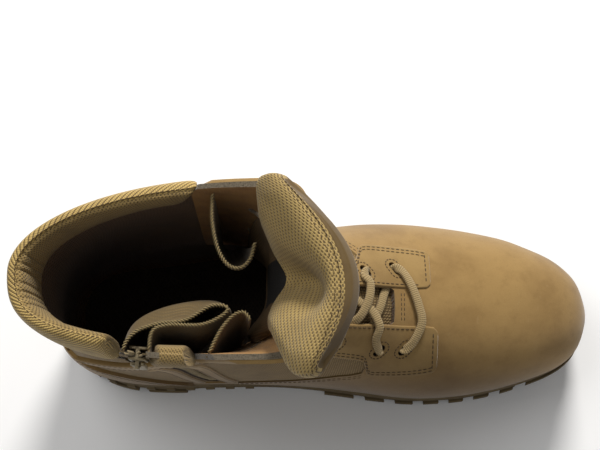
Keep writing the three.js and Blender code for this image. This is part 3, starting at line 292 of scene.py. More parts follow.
def lengths(p, axis):
    """Distance run along an axis of a grid of points."""
    step = np.linalg.norm(np.diff(p, axis=axis), axis=-1)
    pad = [(0, 0), (0, 0)]
    pad[axis] = (1, 0)
    return np.pad(np.cumsum(step, axis=axis), pad)


def tube_mesh(name, p, uv=None, ladder=False):
    """A closed solid from rings of points: p is (rings, points, 3). ladder closes the ends by
    strips between the two halves of the ring, or else a fan does."""
    rows, cols = p.shape[:2]
    index = np.arange(rows * cols).reshape(rows, cols)
    right = np.roll(index, -1, axis=1)
    quads = np.stack([index[:-1], right[:-1], right[1:], index[1:]], -1).reshape(-1, 4)
    faces = list(quads)
    if uv is None:
        ring = np.concatenate([p, p[:, :1]], 1)
        around = lengths(ring, 1)
        along = np.broadcast_to(lengths(p, 0).mean(1, keepdims=True), around.shape)
        uv = np.stack([around, along], -1)
    corner = [uv[:-1, :-1], uv[:-1, 1:], uv[1:, 1:], uv[1:, :-1]]
    loops = list(np.stack(corner, 2).reshape(-1, 4, 2))
    points = p.reshape(-1, 3)
    if ladder:
        half = cols // 2
        for row, flip in ((0, True), (rows - 1, False)):
            for k in range(half - 1):
                pick = [k, k + 1, cols - 2 - k, cols - 1 - k]
                pick = pick[::-1] if flip else pick
                faces.append([row * cols + i for i in pick])
                loops.append([uv[row, i] for i in pick])
    else:
        for row, flip in ((0, True), (rows - 1, False)):
            centre = len(points)
            points = np.concatenate([points, p[row].mean(0, keepdims=True)])
            mean = uv[row].mean(0)
            for k in range(cols):
                a, b = row * cols + k, row * cols + (k + 1) % cols
                pick = [b, a, centre] if flip else [a, b, centre]
                pair = [uv[row, k + 1], uv[row, k]] if flip else [uv[row, k], uv[row, k + 1]]
                faces.append(pick)
                loops.append([*pair, mean])
    return face_out(new_object(name, points, faces, loops))


def slab(name, outer, inner, uv=None):
    """A closed sheet between two grids of points."""
    if uv is None:
        uv = np.stack([lengths(outer, 1), lengths(outer, 0)], -1)
    ring = np.concatenate([outer, inner[:, ::-1]], 1)
    uvs = np.concatenate([uv, uv[:, ::-1], uv[:, :1]], 1)
    return tube_mesh(name, ring, uvs, ladder=True)


def prism(name, outline, y0, y1):
    """A solid across the boot from an outline in (x, z)."""
    n = len(outline)
    points = [[x, y, z] for y in (y0, y1) for x, z in outline]
    faces = [list(range(n)), list(range(2 * n - 1, n - 1, -1))]
    faces += [[k, (k + 1) % n, n + (k + 1) % n, n + k] for k in range(n)]
    return face_out(new_object(name, points, faces))


def block(name, low, high):
    """A box between two corners, for cutters."""
    corners = [[x, y, z] for x in (low[0], high[0]) for y in (low[1], high[1]) for z in (low[2], high[2])]
    faces = [[0, 1, 3, 2], [4, 6, 7, 5], [0, 4, 5, 1], [2, 3, 7, 6], [0, 2, 6, 4], [1, 5, 7, 3]]
    return face_out(new_object(name, corners, faces))


def drop(*objects):
    for obj in objects:
        bpy.data.objects.remove(obj)


def settle(obj):
    """Applies the object's modifiers."""
    graph = bpy.context.evaluated_depsgraph_get()
    mesh = bpy.data.meshes.new_from_object(obj.evaluated_get(graph))
    obj.modifiers.clear()
    obj.data = mesh
    return obj


def combine(obj, other, operation):
    """Unites, intersects or cuts obj with other, which is used up."""
    mod = obj.modifiers.new("combine", "BOOLEAN")
    mod.operation = operation
    mod.solver = "MANIFOLD"
    mod.object = other
    settle(obj)
    drop(other)
    return obj


def cut(obj, *others):
    for other in others:
        combine(obj, other, "DIFFERENCE")
    return obj


def form_solid(name, offset, stations=93, around=96, beyond=0.0, creased=False):
    """The last as a solid, drawn out beyond its top and with its creases if asked."""
    t = np.linspace(0, TOP + beyond, stations)
    angle = np.linspace(0, 2 * math.pi, around, endpoint=False)
    t, angle = np.meshgrid(t, angle, indexing="ij")
    push = offset + relief(form(t, angle)) if creased else offset
    p = form(t, angle, push)
    ring = np.concatenate([p, p[:, :1]], 1)
    along = np.broadcast_to(lengths(p, 0)[:, [around // 4]], ring.shape[:2])
    return tube_mesh(name, p, np.stack([lengths(ring, 1), along], -1))


def layer(name, offset):
    """The last in fine mesh with its creases, for a layer that shows."""
    return form_solid(name, offset, 185, 176, creased=True)


def room(offset):
    """The last as a cutter that runs out over the shaft's top."""
    return form_solid("inside", offset, beyond=0.6)


# A dense set of the form's points and outward normals, to tell outside from lining.
grid = np.meshgrid(np.linspace(0.2, TOP, 120), np.linspace(0, 2 * math.pi, 96, endpoint=False), indexing="ij")
grid_points = form(*grid).reshape(-1, 3)
grid_normals = unit(form(*grid, 1.0) - form(*grid, -1.0)).reshape(-1, 3)
tree = KDTree(len(grid_points))
for number, point in enumerate(grid_points):
    tree.insert(point, number)
tree.balance()


def local(v):
    """A point of Blender's in mm of the boot's frame."""
    return np.array(v) / MM - SHIFT


def sort_faces(obj, edge=0.45):
    """Material index by the way each face looks: 0 outside, 1 lining, 2 cut edge."""
    for poly in obj.data.polygons:
        _, number, _ = tree.find(local(poly.center))
        side = float(np.dot(grid_normals[number], poly.normal))
        poly.material_index = 0 if side > edge else 1 if side < -edge else 2


# The throat, as in the part's solids: stations, how far the gap between the facings has opened
# from GAP_LOW to GAP_TOP, and how much of its width the rounded low end has.
THROAT_T = [9.3, 9.38, 9.6, 11, 12, 13.5, 15.5, 17.5, 19.5, 21.5, 23]
THROAT_OPEN = [0, 0, 0, 0.01, 0.051, 0.134, 0.271, 0.4225, 0.615, 0.835, 1]
THROAT_FULL = [0.8, 0.93, 1, 1, 1, 1, 1, 1, 1, 1, 1]
GAP_LOW, GAP_TOP = 18.0, 66.0
THROAT_DEPTH = 20


def throat_half(t):
    return lerp(GAP_LOW, GAP_TOP, np.interp(t, THROAT_T, THROAT_OPEN)) / 2


def angle_at_half(t, half, side):
    """The angle at which a section is half mm to a side of the front line."""
    s = section(t)
    width = s.lateral - s.ridge if side > 0 else s.medial + s.ridge
    return side * (math.pi - np.arcsin(np.clip(half / width, 0, 1) ** (s.high / 2)))


def walk(t, start, distance, side, offset=0.0):
    """The angles reached by going distances round from start angles towards the back."""
    t, start, distance = np.broadcast_arrays(np.atleast_1d(t).astype(float), start, distance)
    angles = start[:, None] - side * np.linspace(0, 2.6, 261)
    run = lengths(form(t[:, None], angles, offset), 1)
    return np.array([np.interp(*row) for row in zip(distance, run, angles)])


EYELET_ROWS, EYELET_SETBACK = 8, 15.0
EYELET_LOW, EYELET_HIGH = 9.1, 20.2  # stations of the first and last row
SLOT_LONG, SLOT_WIDE = 8.4, 4.2
# Where the photograph shows a slot beside its place in the solids, by side and row: stations,
# and mm away from the throat.
SLOT_MOVES = {(1, 0): (0.2, -2), (1, 1): (0.1, -5), (-1, 0): (-0.1, 0), (-1, 1): (-0.4, 2)}


def eyelets(side):
    """Places and directions of one side's eyelets, from the toe up."""
    stations = np.linspace(EYELET_LOW, EYELET_HIGH, 101)
    tops = section(stations).top
    run = np.concatenate([[0], np.cumsum(np.linalg.norm(np.diff(tops, axis=0), axis=1))])
    found = []
    for row in range(EYELET_ROWS):
        goal = run[-1] * row / (EYELET_ROWS - 1)
        t = float(stations[int(np.argmax(run >= goal - 1e-6))])
        ahead, further = SLOT_MOVES.get((side, row), (0, 0))
        t += ahead
        edge = float(angle_at_half(t, throat_half(t), side))
        angle = float(walk(t, edge, EYELET_SETBACK + further, side)[0])
        base, outer = form(t, angle), form(t, angle, FACE)
        along = unit(form(t - 0.3, angle) - form(t + 0.3, angle))
        rim = form(t, edge)
        across = unit(rim - base)
        normal = unit(np.cross(along, across))
        if np.dot(normal, outer - base) < 0:
            normal = -normal
        found.append(SimpleNamespace(at=outer, normal=normal, along=along, across=across, t=t, edge=rim))
    return found


EYELETS = {1: eyelets(1), -1: eyelets(-1)}


def stadium(e, length, width, count, lift):
    """Points round an oval in the plane of an eyelet, slanted as its slot is."""
    long = unit(e.across + 0.7 * e.along)
    wide = unit(np.cross(e.normal, long))
    straight, r = (length - width) / 2, width / 2
    turn = np.linspace(0, 2 * math.pi, count, endpoint=False)
    x = np.cos(turn) * r + np.sign(np.cos(turn)) * straight
    y = np.sin(turn) * r
    return e.at + x[:, None] * long + y[:, None] * wide + lift * e.normal


def slot_cutter(e, number):
    rings = np.stack([stadium(e, SLOT_LONG, SLOT_WIDE, 24, lift) for lift in (-9.0, 5.0)])
    return tube_mesh(f"slot_{number}", rings)


def merged(name, objects):
    """Separate solids as one object, so that one cut does for all."""
    points, faces = [], []
    for obj in objects:
        faces += [[len(points) + i for i in p.vertices] for p in obj.data.polygons]
        points += [local(v.co) for v in obj.data.vertices]
    drop(*objects)
    return new_object(name, points, faces)


def cut_slots(obj, side):
    cutters = [slot_cutter(e, number) for number, e in enumerate(EYELETS[side])]
    return cut(obj, merged("slots", cutters))


# Collar pads: the angles of their ends, from (x, side) at the height of their middle
PAD_MIDDLE = 210.0


def pad_angles(*ends):
    return [float(place_on(x, PAD_MIDDLE, side)[1]) for x, side in ends]


REAR_ANGLES = pad_angles((53.5, -1), (83, 1))
FRONT_ANGLES = pad_angles((91, -1), (68, -1))


def pad_space(name, start, end):
    """A cutter for a pad, a little less than the pad fills, so no slit shows round it."""
    angle = np.linspace(start + 0.01, end - 0.01, 33)
    t = np.linspace(PAD_LOW + 0.07, TOP + 0.4, 9)
    t, angle = np.meshgrid(t, angle, indexing="xy")
    return slab(name, form(t, angle, 11.0), form(t, angle, -14.0))


ZIP_TOP_X, ZIP_LOW_X = 60.5, 88.0
ZIP_LOW, ZIP_OPEN = 58.0, 208.0  # heights of the lower stop and of the slider
ZIP_GAP, ZIP_SPREAD = 9.6, 1.5  # width of the slit, and how much each side opens at the top


def zip_x(z):
    """The zip's line on the inner side."""
    share = np.clip((np.asarray(z, float) - ZIP_LOW) / (SHAFT - ZIP_LOW), 0, 1)
    return lerp(ZIP_TOP_X, ZIP_LOW_X, (1 - share) ** 1.6)


def zip_spread(z):
    return ZIP_SPREAD * smooth(z, ZIP_OPEN, SHAFT)


def zip_slit(name):
    z = np.concatenate([np.linspace(ZIP_LOW, SHAFT, 40), [250]])
    half = ZIP_GAP / 2 + zip_spread(z)
    rear = list(zip(zip_x(z) - half, z))
    front = list(zip(zip_x(z) + half, z))[::-1]
    return prism(name, rear + front + [(float(zip_x(ZIP_LOW)) + 1, ZIP_LOW - 4.8)], -FAR, -6)


def throat_cutter(name):
    """A band along the front line, 2 mm wider than the gap low down, that runs out over the top."""
    rise, overrun = 12.0, 30
    t = np.concatenate([np.linspace(9.3, 9.6, 5), np.linspace(9.8, TOP, 34)])
    half = (throat_half(t) + np.interp(t, [11, 14], [2.0, 0])) * np.interp(t, THROAT_T, THROAT_FULL)
    out, into = section(t, rise), section(t)
    low = into.top - unit(out.top - into.top) * THROAT_DEPTH
    y = into.ridge

    def corner(line, sign):
        return np.stack([line[:, 0], y + sign * half, line[:, 1]], -1)

    rings = np.stack([corner(low, -1), corner(low, 1), corner(out.top, 1), corner(out.top, -1)], 1)
    rings = np.concatenate([rings, rings[-1:] + [0, 0, overrun]])
    return tube_mesh(name, rings)


# Sole: x as a share of FOOT, and the outer and inner half widths as shares of BALL
OUTLINE = np.array([
    [0, 0.02, 0.02], [0.006, 0.11, 0.11], [0.022, 0.2, 0.2], [0.05, 0.277, 0.275],
    [0.09, 0.333, 0.33], [0.14, 0.367, 0.36], [0.21, 0.382, 0.368], [0.3, 0.405, 0.36],
    [0.4, 0.452, 0.358], [0.5, 0.515, 0.378], [0.6, 0.556, 0.418], [0.68, 0.562, 0.438],
    [0.77, 0.528, 0.423], [0.84, 0.482, 0.384], [0.89, 0.427, 0.341], [0.935, 0.364, 0.291],
    [0.965, 0.296, 0.238], [0.985, 0.221, 0.171], [0.997, 0.111, 0.071], [1.0, 0.036, -0.004],
])
HEEL_LENGTH, MARGIN, LUG_DEPTH = 68.0, 0.8, 4.5
LUG_PROUD, CHANNEL = 1.8, 5.0  # how far the edge lugs stand out, and the gap between two lugs
HEEL_BEVEL, TOE_SPRING, ARCH = 5, 14, 8
SOLE_HEEL, SOLE_FRONT, BUMPER = 11, 9, 6  # the outsole's thickness, and its extra at the toe
RIM, SOCK_THICK, TURNED_IN = 6.5, 4.5, 4.6


def edge_at(t, offset):
    """The sole's two edges at places along the outline, moved outward by offset."""
    def at(place):
        place = np.clip(place, 0, len(OUTLINE) - 1)
        return [spline(OUTLINE[:, k], place) * size for k, size in enumerate((FOOT, BALL, BALL))]

    x, lateral, medial = at(t)
    x0, lateral0, medial0 = at(t - 0.05)
    x1, lateral1, medial1 = at(t + 0.05)
    sides = []
    for here, before, after, sign in ((lateral, lateral0, lateral1, 1), (medial, medial0, medial1, -1)):
        run = unit(np.stack([x1 - x0, after - before], -1))
        sides.append((x - run[..., 1] * offset, sign * (here + run[..., 0] * offset)))
    return sides


def ground(x):
    """The line under the lugs: the heel's bevel and the toe's spring."""
    share = np.asarray(x, float) / FOOT
    spring = TOE_SPRING * np.maximum(0, (share - 0.74) / 0.26) ** 1.8
    return HEEL_BEVEL * (1 - smooth(share, -0.02, 0.04)) + spring


def waist(x):
    """1 between the heel block and the forefoot's lugs."""
    return smooth(x, HEEL_LENGTH - 2, HEEL_LENGTH + 10) * (1 - smooth(x, 0.4 * FOOT, 0.5 * FOOT))


def outsole_top(x):
    share = np.asarray(x, float) / FOOT
    thick = lerp(SOLE_HEEL, SOLE_FRONT, smooth(share, 0.24, 0.5))
    return ground(x) + thick + BUMPER * smooth(share, 0.93, 1) + waist(x) * 2


def rim_top(x):
    return seat(x) + RIM


def sole_solid(name, levels, bottom, top, count=115):
    """A solid with the sole's outline; levels are (share of height, outward offset)."""
    t = np.linspace(0, len(OUTLINE) - 1, count)
    left, right = [], []
    for share, offset in levels:
        (x, y), (xi, yi) = edge_at(t, offset)
        left.append(np.stack([x, y, lerp(bottom(x), top(x), share)], -1))
        right.append(np.stack([xi, yi, lerp(bottom(xi), top(xi), share)], -1))
    return tube_mesh(name, np.stack(left + right[::-1], 1))


def channel(name, x, y, turn, width, length, depth, rise=0.0):
    """A cutter with sloped sides, from under the floor to depth above the ground line."""
    base = float(ground(x)) + rise
    matrix = Matrix.Translation((x, y, 0)) @ Matrix.Rotation(math.radians(turn), 4, "Z")
    rings = []
    for z, grow in ((base - 3, 1.2), (base, 0.9), (base + depth, 0.0)):
        w, h = width / 2 + grow, length / 2
        corners = ((-w, -h), (w, -h), (w, h), (-w, h))
        rings.append([list(matrix @ Vector((across, along, z))) for across, along in corners])
    return tube_mesh(name, np.array(rings))


# Channels between the lugs and fine cuts in them: share of FOOT, and turn in degrees
CHANNELS = [(0.075, -10), (0.145, -4), (0.545, 10), (0.61, 8), (0.675, 5), (0.74, 0), (0.805, -6),
            (0.87, -12), (0.93, -18)]
SIPES = [(0.11, -7), (0.1775, -4), (0.5775, 9), (0.6425, 6), (0.7075, 2), (0.7725, -3), (0.8375, -9)]
FORE_START, FORE_END = 0.5 * FOOT, 0.9 * FOOT


def outsole():
    proud = MARGIN + LUG_PROUD
    plate = sole_solid(
        "outsole_rubber",
        [(0, -1.5), (0.12, -0.2), (0.3, MARGIN - 0.3), (0.95, MARGIN), (1, MARGIN - 0.3)],
        lambda x: ground(x) + waist(x) * ARCH, outsole_top)
    lugs = sole_solid(
        "lugs", [(0, MARGIN), (0.08, MARGIN + 0.9), (0.3, proud), (0.9, proud), (1, MARGIN + 1.2)],
        ground, lambda x: outsole_top(x) - 1)
    cut(lugs, block("under_waist", [HEEL_LENGTH, -FAR, -FAR], [FORE_START, FAR, FAR]))
    for share, turn in CHANNELS:
        cut(lugs, channel("gap", share * FOOT, 0, turn, CHANNEL + 0.4, FAR, 22))
    combine(plate, lugs, "UNION")
    for share, turn in CHANNELS:
        cut(plate, channel("gap", share * FOOT, 0, turn, CHANNEL, FAR, LUG_DEPTH))
    # channels along the foot
    middle, length = (FORE_START + 6 + FORE_END) / 2, 0.4 * FOOT - 6
    for y in (0.19, -0.12):
        cut(plate, channel("gap", middle, y * BALL, 90, 4.2, length, LUG_DEPTH - 1))
    cut(plate, channel("gap", HEEL_LENGTH * 0.69, 0, 90, 4.2, HEEL_LENGTH * 0.62, LUG_DEPTH))
    for share, turn in SIPES:
        cut(plate, channel("sipe", share * FOOT, 0, turn, 0.4, FAR, 1.4))
    # grip ribs across the waist
    for x in np.linspace(HEEL_LENGTH + 16, 0.4 * FOOT - 4, 6):
        cut(plate, channel("rib", x, 0, 8, 2.2, 46, 1.2, float(waist(x)) * ARCH))
    return plate


def midsole():
    """The foam cup: two grooves in its side, ribs round the heel and the board under the foot."""
    def low(x):
        return outsole_top(x) + 0.05

    side = MARGIN
    levels = [(0, side - 0.4), (0.03, side), (0.3, side), (0.33, side - 0.8), (0.36, side - 1), (0.42, side - 1),
              (0.45, side - 0.8), (0.48, side), (0.74, side), (0.76, side - 0.35), (0.78, side - 0.35),
              (0.8, side - 0.1), (0.95, side - 0.5), (1, side - 1.1)]
    rib_levels = [(0.03, side + 0.7), (0.08, side + 1.2), (0.36, side + 1.2), (0.52, side - 1)]
    rib_wide, rib_pitch = 5, 12
    body = sole_solid("midsole_foam", levels, low, rim_top)
    x = HEEL_LENGTH * 0.3
    while x < HEEL_LENGTH * 1.6:
        ribs = sole_solid("ribs", rib_levels, low, rim_top)
        combine(ribs, block("slice", [x, -FAR, 0], [x + rib_wide, FAR, FAR]), "INTERSECT")
        combine(body, ribs, "UNION")
        x += rib_pitch
    inset = TURNED_IN + CLEAR
    board = sole_solid("board", [(0, -inset), (1, -inset)], lambda v: seat(v) - 2, lambda v: seat(v) + WALL)
    combine(board, block("behind_toe", [-FAR, -FAR, -FAR], [0.9 * FOOT, FAR, FAR]), "INTERSECT")
    cut(body, form_solid("hollow", 1.0, 116))
    return combine(body, board, "UNION")


def insole():
    bottom = WALL + CLEAR
    slab_of = sole_solid("slab", [(0, 6), (1, 6)], lambda x: seat(x) + bottom,
                         lambda x: seat(x) + bottom + SOCK_THICK)
    return combine(form_solid("insole_sock", -bottom), slab_of, "INTERSECT")


# Upper: outlines seen from the side, x as a share of FOOT and z as a share of INSTEP above the
# heel seat. The vamp's front and rear are the same on both sides, and its edge isn't.
VAMP_FRONT = [(1.1, -0.4), (1.1, 1.2), (0.572, 1.2)]
VAMP_REAR = [(0.33, 0.19), (0.295, 0.16), (0.27, 0.13), (0.258, 0.09), (0.255, 0.05), (-0.1, 0.05),
             (-0.1, -0.4)]
VAMP_EDGE = {
    1: [(0.572, 0.63), (0.56, 0.585), (0.535, 0.552), (0.5, 0.505), (0.465, 0.44), (0.43, 0.36),
        (0.395, 0.29), (0.36, 0.23)],
    -1: [(0.572, 0.45), (0.565, 0.395), (0.545, 0.375), (0.52, 0.365), (0.47, 0.325), (0.42, 0.27),
         (0.37, 0.218)],
}
COUNTER_LINE = [(-0.1, 0.0), (0.25, 0.0), (0.247, 0.06), (0.235, 0.13), (0.22, 0.175), (0.2, 0.22),
                (0.175, 0.28), (0.15, 0.34), (0.125, 0.42), (0.1, 0.5), (0.05, 0.535), (-0.1, 0.56)]


def in_mm(line):
    return [(x * FOOT, HEEL_SEAT + z * INSTEP) for x, z in line]


def vamp_region():
    halves = []
    for side in (1, -1):
        outline = in_mm(VAMP_FRONT + VAMP_EDGE[side] + VAMP_REAR)
        halves.append(prism(f"half_{side}", outline, min(-0.02, side * 200), max(0.02, side * 200)))
    return combine(halves[0], halves[1], "UNION")


def open_shell(obj):
    """The openings that the shell and the vamp on it have: throat, underside and lace slots."""
    cut(obj, throat_cutter("throat"))
    levels = [(0, -TURNED_IN), (1, -TURNED_IN)]
    cut(obj, sole_solid("under", levels, lambda x: seat(x) - 8, lambda x: seat(x) + 7))
    return cut_slots(cut_slots(obj, 1), -1)


def shell():
    body = open_shell(cut(layer("shaft_nylon", 0.0), room(-WALL)))
    cut(body, pad_space("rear_space", *REAR_ANGLES), pad_space("front_space", *FRONT_ANGLES))
    return cut(body, zip_slit("slit"))


def overlay(name, line, thick):
    """A layer of leather on the shell, inside an outline seen from the side."""
    return combine(cut(layer(name, thick), room(-0.4)), line, "INTERSECT")


# Facings: stations, mm from the throat's edge to the piece, and its width in mm. Above the
# lowest rows both sides are the same.
FACING_TOP = 22.97
FACING_HIGH = ([11.5, 13, 15, 17, 18.6, 19.8, 20.8, 21.7, 22.4, FACING_TOP], [1, 0.5, 0, 0, 0, 0, 0, 0, 0, 0],
               [21, 22.5, 25.5, 33, 45, 54, 63, 63])
FACING = {
    1: ([8.1, 8.14, 8.25, 8.5, 9.4, 10.3, 10.42, 10.56, 10.75] + FACING_HIGH[0],
        [6.5, 3.2, 1.6, 1.2, 1.2, 1.2, 1.2, 1.2, 1.2] + FACING_HIGH[1],
        [16, 21, 25, 26.5, 28, 29.5, 28, 18, 16.5, 17, 19.5] + FACING_HIGH[2]),
    -1: ([7.9, 7.94, 8.05, 8.3, 9.1, 9.95, 10.06, 10.2, 10.4] + FACING_HIGH[0],
         [7.5, 4, 1.8, 1.2, 1.2, 1.2, 1.2, 1.2, 1.2] + FACING_HIGH[1],
         [17, 24, 29, 31.5, 34, 38, 37, 26, 24.5, 24, 22] + FACING_HIGH[2]),
}


def facing_ends(t, side, inset=0.0):
    """Angles of a facing's two edges at stations, moved into the facing by inset mm."""
    t = np.atleast_1d(t).astype(float)
    station, back, wide = FACING[side]
    start = angle_at_half(t, throat_half(t) + np.interp(t, station, back), side)
    end = walk(t, start, np.interp(t, station, wide) - inset, side)
    first = walk(t, start, inset, side)
    limit = REAR_ANGLES[1] + 0.03 if side > 0 else FRONT_ANGLES[0] - 0.03
    held = side * np.maximum(end * side, limit * side + inset / 45)
    return first, np.where(t >= PAD_LOW - 0.3, held, end)


def rounded(d, radius):
    """Height of a quarter-round edge, from 0 to 1, at a distance d from the rim."""
    s = np.clip(d / radius, 0, 1)
    return np.sqrt(np.clip(1 - (1 - s) ** 2, 0, 1))


def panel(name, t, angle, base, thick, radius=0.9, sink=0.4):
    """A raised piece of leather over a grid of stations and angles, its edges rounded."""
    p = form(t, angle)
    run, along = lengths(p, 1), lengths(p, 0)
    d = np.minimum(np.minimum(run, run[:, -1:] - run), np.minimum(along, along[-1:] - along))
    lift = relief(p)
    outer = form(t, angle, base + lift + thick * (0.15 + 0.85 * rounded(d, radius)))
    return slab(name, outer, form(t, angle, base + lift * 0.5 - sink), np.stack([run, along], -1))


def eased(count, share=0.03):
    """Shares from 0 to 1, closer together at both ends."""
    middle = np.linspace(share, 1 - share, count - 8)
    return np.concatenate([np.linspace(0, share, 5)[:-1], middle, np.linspace(1 - share, 1, 5)[1:]])


def facing(side, name):
    stations = lerp(FACING[side][0][0], FACING_TOP, eased(230, 0.01))
    ends = np.stack(facing_ends(stations, side), -1)
    # soften the table's corners
    kernel = np.array([1, 2, 3, 2, 1]) / 9
    high = stations > 10.8
    for k in range(2):
        smoothed = np.convolve(np.pad(ends[:, k], 2, mode="edge"), kernel, "valid")
        ends[high, k] = smoothed[high]
    across = eased(30, 0.06)
    angle = ends[:, :1] + (ends[:, 1:] - ends[:, :1]) * across
    t = np.broadcast_to(stations[:, None], angle.shape)
    return cut_slots(panel(name, t, angle, CLEAR, OVERLAY), side)


def facing_line(side, inset, t0, t1, which, count=160):
    """Points of a stitch line along a facing's edge: which is 0 at the throat, 1 outside."""
    t = np.linspace(t0, t1, count)
    return form(t, facing_ends(t, side, inset)[which], FACE + 0.2)


# Threads

def resample(line, pitch):
    """Points about a pitch apart along a line."""
    line = np.asarray(line, float)
    run = np.concatenate([[0], np.cumsum(np.linalg.norm(np.diff(line, axis=0), axis=1))])
    count = max(int(run[-1] / pitch), 1)
    at = np.linspace(0, run[-1], count + 1)
    return np.stack([np.interp(at, run, line[:, k]) for k in range(3)], -1)


def rods(name, segments, radius, sides=6):
    """Short rounded threads, one for each pair of end points, as one mesh."""
    points, faces = [], []
    turn = np.linspace(0, 2 * math.pi, sides, endpoint=False)
    for a, b in segments:
        a, b = np.asarray(a, float), np.asarray(b, float)
        run = unit(b - a)
        helper = np.array([0, 0, 1.0]) if abs(run[2]) < 0.8 else np.array([1.0, 0, 0])
        u = unit(np.cross(run, helper))
        v = np.cross(run, u)
        start = len(points)
        stops = ((0, 0.35), (0.18, 0.85), (0.5, 1.0), (0.82, 0.85), (1, 0.35))
        for share, grow in stops:
            centre = a + (b - a) * share
            points += list(centre + radius * grow * (np.cos(turn)[:, None] * u + np.sin(turn)[:, None] * v))
        for i in range(len(stops) - 1):
            for k in range(sides):
                n = (k + 1) % sides
                o = start + i * sides
                faces.append([o + k, o + n, o + sides + n, o + sides + k])
        faces.append([start + k for k in range(sides)][::-1])
        faces.append([start + (len(stops) - 1) * sides + k for k in range(sides)])
    return new_object(name, points, faces)


def bvh_of(obj):
    return BVHTree.FromPolygons([v.co for v in obj.data.vertices], [p.vertices for p in obj.data.polygons])


def stitch_segments(line, surface, pitch=3.0, gap=0.7, sink=0.1):
    """Pairs of end points of stitches along a line laid onto a surface."""
    points = resample(line, pitch)
    laid = []
    for p in points:
        co, normal, _, _ = surface.find_nearest(Vector((p + SHIFT) * MM))
        laid.append(local(co) - np.array(normal) * sink)
    segments = []
    for a, b in zip(laid[:-1], laid[1:]):
        run = unit(b - a)
        segments.append((a + run * gap / 2, b - run * gap / 2))
    return segments


# Soft pieces

def closed_curve(points, count):
    """A smooth closed curve through points, and the place between them of each of its points."""
    p = np.array(points, float)
    n = len(p)
    at = np.linspace(0, n, count, endpoint=False)
    i = np.floor(at).astype(int)
    u = (at - i)[:, None]
    a, b, c, d = p[(i - 1) % n], p[i % n], p[(i + 1) % n], p[(i + 2) % n]
    curve = 2 * b + (c - a) * u + (2 * a - 5 * b + 4 * c - d) * u**2 + (3 * b - a - 3 * c + d) * u**3
    return curve / 2, at


def inflate(obj, pinned, cap, pressure=4.0, frames=20):
    """Fills a closed piece by a short cloth simulation; no point moves further than cap mm."""
    count = len(obj.data.vertices)
    before = np.empty(count * 3)
    obj.data.vertices.foreach_get("co", before)
    before = before.reshape(-1, 3)
    group = obj.vertex_groups.new(name="held")
    group.add([int(i) for i in pinned], 1.0, "REPLACE")
    cloth = obj.modifiers.new("cloth", "CLOTH")
    cloth.settings.vertex_group_mass = "held"
    cloth.settings.use_pressure = True
    cloth.settings.uniform_pressure_force = pressure
    cloth.settings.effector_weights.gravity = 0
    cloth.settings.quality = 4
    cloth.collision_settings.use_collision = False
    for number in range(1, frames + 1):
        bpy.context.scene.frame_set(number)
    graph = bpy.context.evaluated_depsgraph_get()
    after = np.empty(count * 3)
    obj.evaluated_get(graph).data.vertices.foreach_get("co", after)
    obj.modifiers.clear()
    obj.vertex_groups.clear()
    bpy.context.scene.frame_set(1)
    move = after.reshape(-1, 3) - before
    size = np.linalg.norm(move, axis=1, keepdims=True)
    move = move * np.minimum(1, cap * MM / np.maximum(size, 1e-9))
    obj.data.vertices.foreach_set("co", (before + move).ravel())
    obj.data.update()


def refine(obj, levels=1):
    mod = obj.modifiers.new("fine", "SUBSURF")
    mod.levels = mod.render_levels = levels
    return settle(obj)


# A pad's section from its lower edge round: height, and bulge outward or, below 0, inward.
PAD_LOOP = [(0.0, 0.05), (0.1, 0.7), (0.35, 1.0), (0.7, 1.0), (0.92, 0.65), (1.0, 0.0), (0.98, -0.45),
            (0.85, -0.85), (0.55, -1.0), (0.25, -0.95), (0.06, -0.6), (0.0, -0.33)]
PAD_OUT, PAD_IN = 4.2, 7.0
SEAM = 6.15  # place of the top seam round the loop
STITCHED = (5.75, 0.35)  # places of the stitch lines beside the seams
INNER_END = 11.3
# Pleats behind the heel: share of the pad's length, and depth in mm.
PLEATS = ((0.30, 0.9), (0.335, 0.7), (0.365, 1.0), (0.4, 0.8), (0.44, 1.1), (0.475, 0.7), (0.52, 0.8))


def collar_pad(name, ends, steps, lean, around=48):
    """A padded piece of the collar, and its seam lines. lean is how far its start leans inward;
    only the pad that leans has pleats."""
    loop, place = closed_curve(PAD_LOOP, around)
    share = np.linspace(0, 1, steps)[:, None]
    angle = lerp(ends[0], ends[1], share)
    height, bulge = loop[:, 0], loop[:, 1]
    # full at the middle, rounded off at both ends
    length = np.linalg.norm(np.diff(form(22.5, angle[:, 0]), axis=0), axis=1).sum()
    swell = 0.55 + 0.45 * rounded(np.minimum(share, 1 - share) * length, 4.0)
    away = np.abs((place - SEAM + 6) % 12 - 6)
    groove = np.exp(-((away / 0.28) ** 2)) * 0.26
    offset = np.where(bulge > 0, PAD_OUT, PAD_IN) * bulge * 0.9
    inner = (place > SEAM - 0.1) & (place < INNER_END)
    pleat = sum(np.exp(-(((share - at) / 0.006) ** 2)) * deep for at, deep in PLEATS)
    offset = offset * swell * (1 - groove) + np.where(inner & (place < 9.5), 1, 0) * pleat * (lean > 0)
    leaning = lean * (1 - smooth(share, 0, 0.35))
    level = height * (1 - groove * 0.12) * (0.6 + 0.4 * swell)
    t = lerp(PAD_LOW + 0.035, TOP, np.clip(level, 0.004, 0.985))
    p = form(t, angle + 0.1 * height * (1 - share), offset - leaning * height.clip(0, 1) ** 1.5)
    obj = tube_mesh(name, p)
    held = [i * around + k for i in range(steps) for k in range(around)
            if away[k] < 0.3 or place[k] > 11 or place[k] < 0.2 or i < 2 or i > steps - 3]
    inflate(obj, held, 1.6)
    for number, poly in enumerate(obj.data.polygons):
        inside = number < (steps - 1) * around and inner[number % around]
        poly.material_index = 1 if inside else 0
    seams = [p[:, int(np.argmin(np.abs(place - at)))] for at in STITCHED]
    return refine(obj), seams


